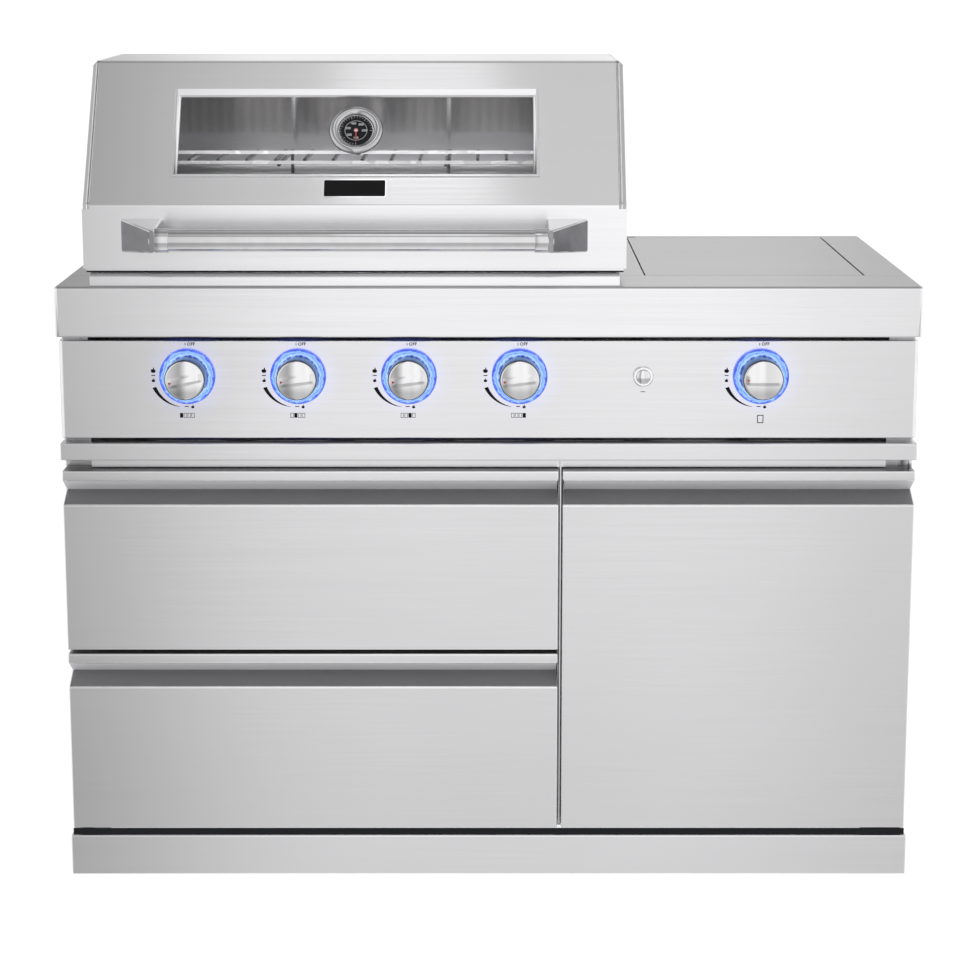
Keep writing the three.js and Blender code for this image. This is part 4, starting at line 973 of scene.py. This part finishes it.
def thermometer():
    """Domed case with its probe, dial, scale and numbers, and the cap over the needle."""
    place = slope_frame()
    seat = DIAL_RADIUS + CASE_WALL
    half = (CASE_RADIUS - seat) / 2
    profile = [
        (0, PROBE_END), (PROBE_RADIUS, PROBE_END), (PROBE_RADIUS, CASE_BACK),
        (CASE_FOOT, CASE_BACK), (CASE_FOOT, CASE_BACK - CASE_STEP),
        (CASE_RADIUS - CASE_LIP[0], CASE_RIM + CASE_LIP[1]),
        *arc((seat + half, CASE_RIM), (half, CASE_RIM - CASE_CREST), 0, -180, 2 * ARC_STEPS),
        (seat, DIAL_SEAT), (0, DIAL_SEAT),
    ]
    bm = turned(profile, TURN_SIDES)
    case = finished("thermometer_shell", bm, "hood", ring_chrome, place)
    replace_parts(case, "thermometer_case")

    face = DIAL_SEAT - DIAL_THICK
    profile = [(0, DIAL_SEAT), (DIAL_RADIUS, DIAL_SEAT), (DIAL_RADIUS, face), (0, face)]
    finished("dial_face", turned(profile, TURN_SIDES), "hood", dial_black, place=place)

    thick = PRINT_THICK * MM
    front = (face - PRINT_THICK) * MM
    bm = bmesh.new()
    for i in range(DIAL_STEPS + 1):
        length = TICK_LONG if i % DIAL_MAJOR == 0 else TICK_SHORT
        near = Vector(dial_spot(i / DIAL_STEPS, TICK_OUTER))
        far = Vector(dial_spot(i / DIAL_STEPS, TICK_OUTER - length))
        side = (near - far).orthogonal().normalized() * TICK_WIDE / 2
        slab(scaled([near - side, near + side, far + side, far - side]), front, thick, bm)
    turn = 360 - 360 / SMALL_SIDES
    inner, outer = (
        scaled(arc((0, 0), (radius, radius), 0, turn, SMALL_SIDES - 1)) for radius in SCALE_RING
    )
    finished("dial_scale", framed(outer, inner, front, thick, bm), "hood", dial_white, place=place)
    for i, words in enumerate(DIAL_NUMBERS):
        x, z = dial_spot(i / (len(DIAL_NUMBERS) - 1), NUMBER_RADIUS)
        spot = place @ Matrix.Translation((x * MM, front + thick / 2, z * MM))
        letters(f"dial_number_{i}", words, NUMBER_HEIGHT, spot, dial_white, "hood")

    base = CASE_CREST / 2
    dome = arc((0, base), (HUB_RADIUS, HUB_RISE), 0, -90)[:-1]
    bm = turned([(0, base), *dome, (0, base - HUB_RISE)], SMALL_SIDES)
    finished("needle_cap", bm, "needle", chrome, place=place)


def hood_plate():
    """Bare black plate in a polished rim."""
    place = slope_frame() @ Matrix.Translation((0, 0, -PLATE_DROP * MM))
    outer, inside, inner = (
        scaled(soft_rectangle((0, 0), [side - less for side in PLATE_SIZE], PLATE_ROUND))
        for less in (0, PLATE_LINE, 2 * PLATE_LINE)
    )
    plate = slab(inside, -PLATE_THICK * MM, PLATE_THICK * MM)
    finished("hood_plate", plate, "hood", plate_black, place=place)
    front = -(PLATE_THICK + PLATE_LIP) * MM
    finished("hood_plate_rim", framed(outer, inner, front, -front), "hood", chrome, place=place)


def window_strip():
    """Wedge along the top of the window, whose front face stands upright."""
    place = slope_frame()
    width, height = STRIP_SIZE
    proud = height * place.col[2].y / place.col[2].z
    top = STRIP_RISE + height
    front = -STRIP_BACK - STRIP_EDGE
    section = [
        (-STRIP_BACK, STRIP_RISE), (-STRIP_BACK, top), (front - proud, top), (front, STRIP_RISE),
    ]
    ends = ([(x * MM, y * MM, z * MM) for y, z in section] for x in (-width / 2, width / 2))
    bm = prism(*ends)
    piece = finished("window_strip", bm, "hood", steel_band, place=place)
    map_grain(piece.data, "x")


def lip_and_shade_strips():
    """Bright lip that closes the hood to the firebox, and black strips of painted shade under it and
    over the plinth, put where the gaps show dark.
    """
    low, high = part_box("hood_shell")
    inset, thick, clear = HOOD_STRIP_INSET * MM, LIP_AND_SHADE_THICK * MM, SHADE_STRIP_CLEAR * MM
    for name, drop, back, look in (
        ("hood_lip", HOOD_LIP_DROP, HOOD_LIP_BACK, steel_band),
        ("hood_shade_strip", HOOD_SHADE_DROP, HOOD_SHADE_BACK, dial_black),
    ):
        outline = between(low.x + inset, high.x - inset, low.z - drop * MM, low.z + thick)
        piece = finished(name, slab(outline, low.y + back * MM, thick), "hood", look)
        map_grain(piece.data, "x")
    # Black strip over the plinth: painted shade in the gap under the fronts
    low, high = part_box("base_panel")
    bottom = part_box("plinth")[1].z + clear
    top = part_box("drawer_lower_front")[0].z - clear
    outline = between(low.x, high.x, bottom, top)
    shade_strip = slab(outline, low.y - thick, thick - SHADE_STRIP_GAP * MM)
    finished("plinth_shade_strip", shade_strip, "cabinet", dial_black)


def bright_rails(piece):
    """Keeps the long rails bright, a painted highlight, and darkens the cross wires and legs of the
    warming rack, a painted shade.
    """
    for material in (grey_chrome, dark_chrome):
        piece.data.materials.append(material)
    for polygon in piece.data.polygons:
        places = [piece.data.vertices[i].co for i in polygon.vertices]
        along, _, up = (max(values) - min(values) for values in zip(*places))
        if along < RAIL_LEAST * MM:
            polygon.material_index = 2 if up > RAIL_LEAST * MM else 1


# Handle


def handle():
    """Bar between two brackets; its pieces are turned about Y and laid along X."""
    low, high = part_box("handle_bar")
    middle = middle_of("handle_bar")
    turn = Matrix.Rotation(math.radians(-90), 4, "Z")
    half = (high.x - low.x) / 2 / MM
    bm = turned([(0, -half), (BAR_RADIUS, -half), (BAR_RADIUS, half), (0, half)], TURN_SIDES)
    place = Matrix.Translation(middle) @ turn
    bar = finished("handle_tube", bm, "hood", bar_chrome, place)
    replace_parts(bar, "handle_bar")
    for side in ("left", "right"):
        bracket(f"handle_bracket_{side}", middle, turn)


def bracket(node, bar_middle, turn):
    """Tapered arm from a broad foot on the hood to a narrow nose, with a collar for the bar."""
    low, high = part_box(node)
    side = 1 if middle_of(node).x > bar_middle.x else -1
    inner, outer = (low.x, high.x) if side > 0 else (high.x, low.x)
    collar_end = inner + side * COLLAR_LENGTH * MM
    nose_inner = collar_end - side * NOSE_SIZE[0] * MM
    foot = (abs(outer - nose_inner) / MM, (high.z - low.z) / MM)
    foot_middle = ((outer + nose_inner) / 2, (high.z + low.z) / 2)
    nose_middle = ((collar_end + nose_inner) / 2, bar_middle.z)
    small = tuple(value - 2 * NOSE_ROUND for value in NOSE_SIZE)
    sections = (
        (foot, foot_middle, BRACKET_ROUND, high.y),
        (foot, foot_middle, BRACKET_ROUND, high.y - BRACKET_FOOT * MM),
        (NOSE_SIZE, nose_middle, BRACKET_ROUND, low.y + NOSE_ROUND * MM),
        (small, nose_middle, BRACKET_ROUND - NOSE_ROUND, low.y),
    )
    bm = bmesh.new()
    rows = []
    for size, centre, radius, y in sections:
        outline = scaled(soft_rectangle((0, 0), size, radius), centre)
        rows.append([bm.verts.new((x, y, z)) for x, z in outline])
    for first, second in zip(rows, rows[1:]):
        bridge(bm, first, second)
    bm.faces.new(rows[0])
    bm.faces.new(list(reversed(rows[-1])))
    arm = finished(f"{node}_arm", bm, "hood", grey_chrome)
    # Painted light and shade: the arm's upper and lower faces take brighter chrome and its outer
    # faces darker chrome than the rest
    for material in (bar_chrome, dark_chrome):
        arm.data.materials.append(material)
    for polygon in arm.data.polygons:
        if abs(polygon.normal.z) > FACET_TILT:
            polygon.material_index = 1
        elif polygon.normal.x * side > FACET_TILT:
            polygon.material_index = 2
    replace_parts(weighted(arm), node)
    half = COLLAR_LENGTH / 2
    edge = COLLAR_RADIUS - COLLAR_ROUND
    corner = (COLLAR_ROUND, COLLAR_ROUND)
    profile = [
        (BAR_RADIUS, half), *arc((edge, half - COLLAR_ROUND), corner, 90, 0, CORNER_STEPS),
        *arc((edge, COLLAR_ROUND - half), corner, 0, -90, CORNER_STEPS), (BAR_RADIUS, -half),
        (BAR_RADIUS, half),
    ]
    centre = Vector(((inner + collar_end) / 2, bar_middle.y, bar_middle.z))
    place = Matrix.Translation(centre) @ turn
    collar = turned(profile, TURN_SIDES)
    finished(f"{node}_collar", collar, "hood", bar_chrome, place=place)


# Cabinet trim


def divider_nose():
    """Edge of the centre divider that shows in the gap between the drawers and the door."""
    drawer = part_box("drawer_upper_front")
    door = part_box("door")
    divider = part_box("centre_divider")
    front = door[0].y + NOSE_SETBACK * MM
    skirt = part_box("front_rail")[0].y + SKIRT_SETBACK * MM
    low, clear = divider[0].z, NOSE_CLEAR * MM
    outline = [
        (front, low), (divider[0].y, low), (divider[0].y, door[1].z + clear),
        (skirt - clear, door[1].z + clear), (skirt - clear, divider[1].z), (front, divider[1].z),
    ]
    middle = (drawer[1].x + door[0].x) / 2
    half = NOSE_THICK / 2 * MM
    bm = prism(*([(x, y, z) for y, z in outline] for x in (middle - half, middle + half)))
    piece = finished("divider_nose", bm, "cabinet", steel_side)
    map_grain(piece.data, "z")


def hinge_slot():
    """Black patch on the worktop, a painted shade that stands for the dark slot where the side lid's
    hinge comes up through it.
    """
    low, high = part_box("side_burner_lid")
    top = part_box("worktop")[1].z
    x = low.x + (HINGE_SLOT[0] / 2 + HINGE_SLOT_INSET) * MM
    y = high.y + (HINGE_SLOT[1] / 2 + HINGE_SLOT_INSET) * MM
    lift = (PRINT_LIFT + 2 * PRINT_THICK) * MM
    outline = scaled(soft_rectangle((0, 0), HINGE_SLOT, HINGE_SLOT_ROUND))
    bm = slab(outline, 0, 2 * PRINT_THICK * MM)
    place = Matrix.Translation((x, y, top + lift))
    place = place @ Matrix.Rotation(math.radians(-90), 4, "X")
    finished("lid_hinge_slot", bm, "cabinet", dial_black, place=place)


for control in range(len(KNOB_TURNS)):
    knob(control)
    ring(control)
    printed_marks(control)
switch()
thermometer()
hood_plate()
window_strip()
lip_and_shade_strips()
handle()
divider_nose()
hinge_slot()


# Camera, light and surroundings

FLOOR_SIZE = 20
FLOOR_CELLS = 8
FLOOR_TONE = 0.6
FLOOR_ROUGHNESS = 0.8
FLOOR_GLOW = 0.7

# Brightness of the surroundings by the sine of the height, ahead and behind, and by the
# sideways part of a direction
AHEAD = (
    (-1.0, 0.9), (-0.8, 0.62), (-0.6, 0.56), (-0.46, 0.56), (-0.36, 0.56), (-0.3, 0.76),
    (-0.22, 1.0), (-0.1, 1.0), (0.5, 1.0), (0.66, 0.95), (0.74, 0.5), (0.8, 0.5), (0.86, 0.66),
    (0.92, 0.66), (0.966, 0.45), (1.0, 0.25),
)
BEHIND = ((-1.0, 1.0), (-0.1, 1.0), (0.1, 1.0), (0.25, 0.9), (0.5, 0.8), (1.0, 0.4))
SIDEWAYS = (
    (-1.0, 0.9), (-0.5, 0.8), (-0.32, 0.58), (-0.2, 0.36), (-0.148, 0.64), (-0.1, 0.97),
    (-0.017, 0.98), (0.02, 0.9), (0.06, 1.0), (0.12, 1.0), (0.16, 0.76), (0.3, 0.84), (1.0, 0.95),
)
# Backward part of a direction, over which ahead turns into behind
BEHIND_SPAN = (-0.2, 0.4)
WORLD_STRENGTH = 1.12

# Name, place, target, size and radiance of each area lamp
LAMPS = (
    ("slope_box", (-0.16, -1.0, 2.66), (-0.16, -0.2, 1.2), (0.36, 0.3), 0.8),
    ("oven_lamp", (-0.2, -0.12, 1.21), (-0.2, 0.25, 1.0), (0.6, 0.03), 32.0),
)


def make_camera():
    data = bpy.data.cameras.new("camera")
    data.sensor_width = SENSOR
    data.lens = FOCAL_PIXELS / IMAGE_SIDE * SENSOR
    data.shift_y = CAMERA_SHIFT
    data.clip_end = CLIP_END
    camera = new_object("camera", data)
    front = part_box("worktop")[0].y
    camera.location = (CAMERA_X * MM, front - CAMERA_DISTANCE * MM, CAMERA_HEIGHT * MM)
    camera.rotation_euler = (math.radians(90 - CAMERA_PITCH), 0, 0)
    scene.camera = camera


def make_floor():
    """White floor that keeps shadows; metal sees the white surroundings straight through it."""
    bm = bmesh.new()
    bmesh.ops.create_grid(bm, x_segments=FLOOR_CELLS, y_segments=FLOOR_CELLS, size=FLOOR_SIZE)
    mesh = bpy.data.meshes.new("floor")
    bm.to_mesh(mesh)
    bm.free()
    floor = new_object("floor", mesh)
    look, tree, shader = shader_of("floor_white", (FLOOR_TONE,) * 3, 0.0, FLOOR_ROUGHNESS)
    shader.inputs["Specular IOR Level"].default_value = 0.0
    shader.inputs["Emission Color"].default_value = (1, 1, 1, 1)
    path = add(tree, "ShaderNodeLightPath").outputs
    seen = maths(tree, "MAXIMUM", path["Is Camera Ray"], path["Is Transmission Ray"])
    glow = maths(tree, "MULTIPLY", seen, FLOOR_GLOW)
    link(tree, glow, shader.inputs["Emission Strength"])
    clear = add(tree, "ShaderNodeBsdfTransparent").outputs[0]
    inputs = {0: path["Is Glossy Ray"], 1: shader.outputs[0], 2: clear}
    mix = add(tree, "ShaderNodeMixShader", inputs).outputs[0]
    link(tree, mix, tree.nodes["Material Output"].inputs["Surface"])
    mesh.materials.append(look)


def toned(tree, source, stops):
    """A ramp from stops that run between -1 and 1."""
    share = ranged(tree, source, 0.0, 1.0, (-1.0, 1.0))
    return ramp(tree, share, [((at + 1) / 2, tone) for at, tone in stops])


def make_world():
    """Soft white surroundings, greyer high up, low in front and to the left."""
    world = bpy.data.worlds.new("studio")
    world.use_nodes = True
    scene.world = world
    tree = world.node_tree
    direction = add(tree, "ShaderNodeTexCoord").outputs["Generated"]
    parts = add(tree, "ShaderNodeSeparateXYZ", {"Vector": direction}).outputs
    behind = ranged(tree, parts["Y"], 0.0, 1.0, BEHIND_SPAN)
    height = mixed(tree, behind, toned(tree, parts["Z"], AHEAD), toned(tree, parts["Z"], BEHIND))
    both = mixed(tree, 1.0, height, toned(tree, parts["X"], SIDEWAYS), blend_type="MULTIPLY")
    camera_ray = add(tree, "ShaderNodeLightPath").outputs["Is Camera Ray"]
    background = tree.nodes["Background"]
    link(tree, mixed(tree, camera_ray, both, 1), background.inputs["Color"])
    background.inputs["Strength"].default_value = WORLD_STRENGTH


def softbox(name, place, target, size, radiance):
    data = bpy.data.lights.new(name, "AREA")
    data.shape = "RECTANGLE"
    data.size, data.size_y = size
    data.energy = math.pi * size[0] * size[1] * radiance
    lamp = new_object(name, data)
    lamp.location = place
    lamp.rotation_euler = (Vector(target) - Vector(place)).to_track_quat("-Z", "Y").to_euler()
    lamp.visible_camera = False


make_camera()
make_floor()
make_world()
for lamp in LAMPS:
    softbox(*lamp)


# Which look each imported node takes

# Least part of a normal along an axis that its face leans to, looks along or stands square to
LEANS = 0.2
LOOKS = 0.5
NEARLY_SQUARE = 0.9
SQUARE = 0.95

rim_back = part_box("firebox")[0].y + RIM_DEPTH * MM


def faces_up(face):
    return face.normal.z > LOOKS


def faces_down(face):
    return face.normal.z < -LOOKS and face.normal.y < -LEANS


def on_slope(face):
    return -SQUARE < face.normal.y < -LOOKS and face.normal.z > LEANS


def looks_left(face):
    return face.normal.x < -LOOKS


def looks_right(face):
    return face.normal.x > LOOKS


def on_rim(face):
    """The front of the firebox's rim, which shows between the hood and the worktop."""
    return face.normal.y < -NEARLY_SQUARE and face.center.y < rim_back


# The fronts' upward faces take painted shade and the pull's down-facing face a painted highlight
pull_sides = ((faces_up, steel_recess_shade), (faces_down, steel_pull_lit))
for name in ("drawer_lower_front", "drawer_upper_front", "door"):
    dressed(name, steel_front, sides=pull_sides)
dressed("plinth", steel_plinth)
dressed("front_rail", steel_rail)
panel_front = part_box("control_panel")[0].y
ring_middles = [middle_of(f"bezel_{i + 1}") for i in range(len(KNOB_TURNS))]
ring_glow(steel_panel, [(middle.x, panel_front, middle.z) for middle in ring_middles])
dressed("control_panel", steel_panel)
# The worktop's upward faces take a darker copy of its steel, a painted shade
dressed("worktop", steel_apron, APRON_ROUND, sides=((faces_up, steel_top_shade),))
for side in ("left", "right"):
    dressed(f"side_panel_{side}", steel_side, axis="y")
dressed("back_panel", steel_inner, THIN_ROUND)
# The hood's slope takes painted shade and its top painted light
hood_sides = ((on_slope, steel_slope_shade), (faces_up, steel_crown_lit))
dressed("hood_shell", steel_band, THIN_ROUND, sides=hood_sides)
# End caps in darker steel, and darker still on their inward faces: painted shade
for side, inward in (("left", looks_right), ("right", looks_left)):
    dressed(f"hood_end_{side}", steel_cap_shade, TRIM_ROUND, axis="y", sides=((inward, steel_cap_inside_shade),))
dressed("window_frame", steel_trim, THIN_ROUND)
# The side lid takes the darker steel of the worktop's top, a painted shade
dressed("side_burner_lid", steel_lid_shade, TRIM_ROUND)
dressed("firebox", steel_inner, THIN_ROUND, sides=((on_rim, steel_band),))
for name in ("grate_left", "grate_right", "side_burner_grate"):
    dressed(name, iron, IRON_ROUND, least=IRON_ROUND)
smooth_looks = {
    steel_inner: (
        "base_panel", "centre_divider", "drawer_lower_box", "drawer_upper_box",
        "grease_tray", "side_burner_well",
    ),
    zinc: ("drawer_lower_runner", "drawer_upper_runner", *(f"valve_stem_{i}" for i in range(1, 6))),
    burner_steel: ("flame_tamer_left", "flame_tamer_right", *(f"burner_{i}" for i in range(1, 5))),
    iron: ("side_burner_head",),
    brass: ("gas_manifold",),
}
for look, names in smooth_looks.items():
    for name in names:
        smoothed(name, look)
bright_rails(smoothed("warming_rack", wire))
carried_looks = {
    red_paint: ("thermometer_needle",),
    pane: ("window_glass",),
    chrome: ("switch_body", "switch_button"),
}
for look, names in carried_looks.items():
    for name in names:
        data = nodes[name].data
        data.materials.clear()
        data.materials.append(look)

scene.view_settings.view_transform = "Standard"
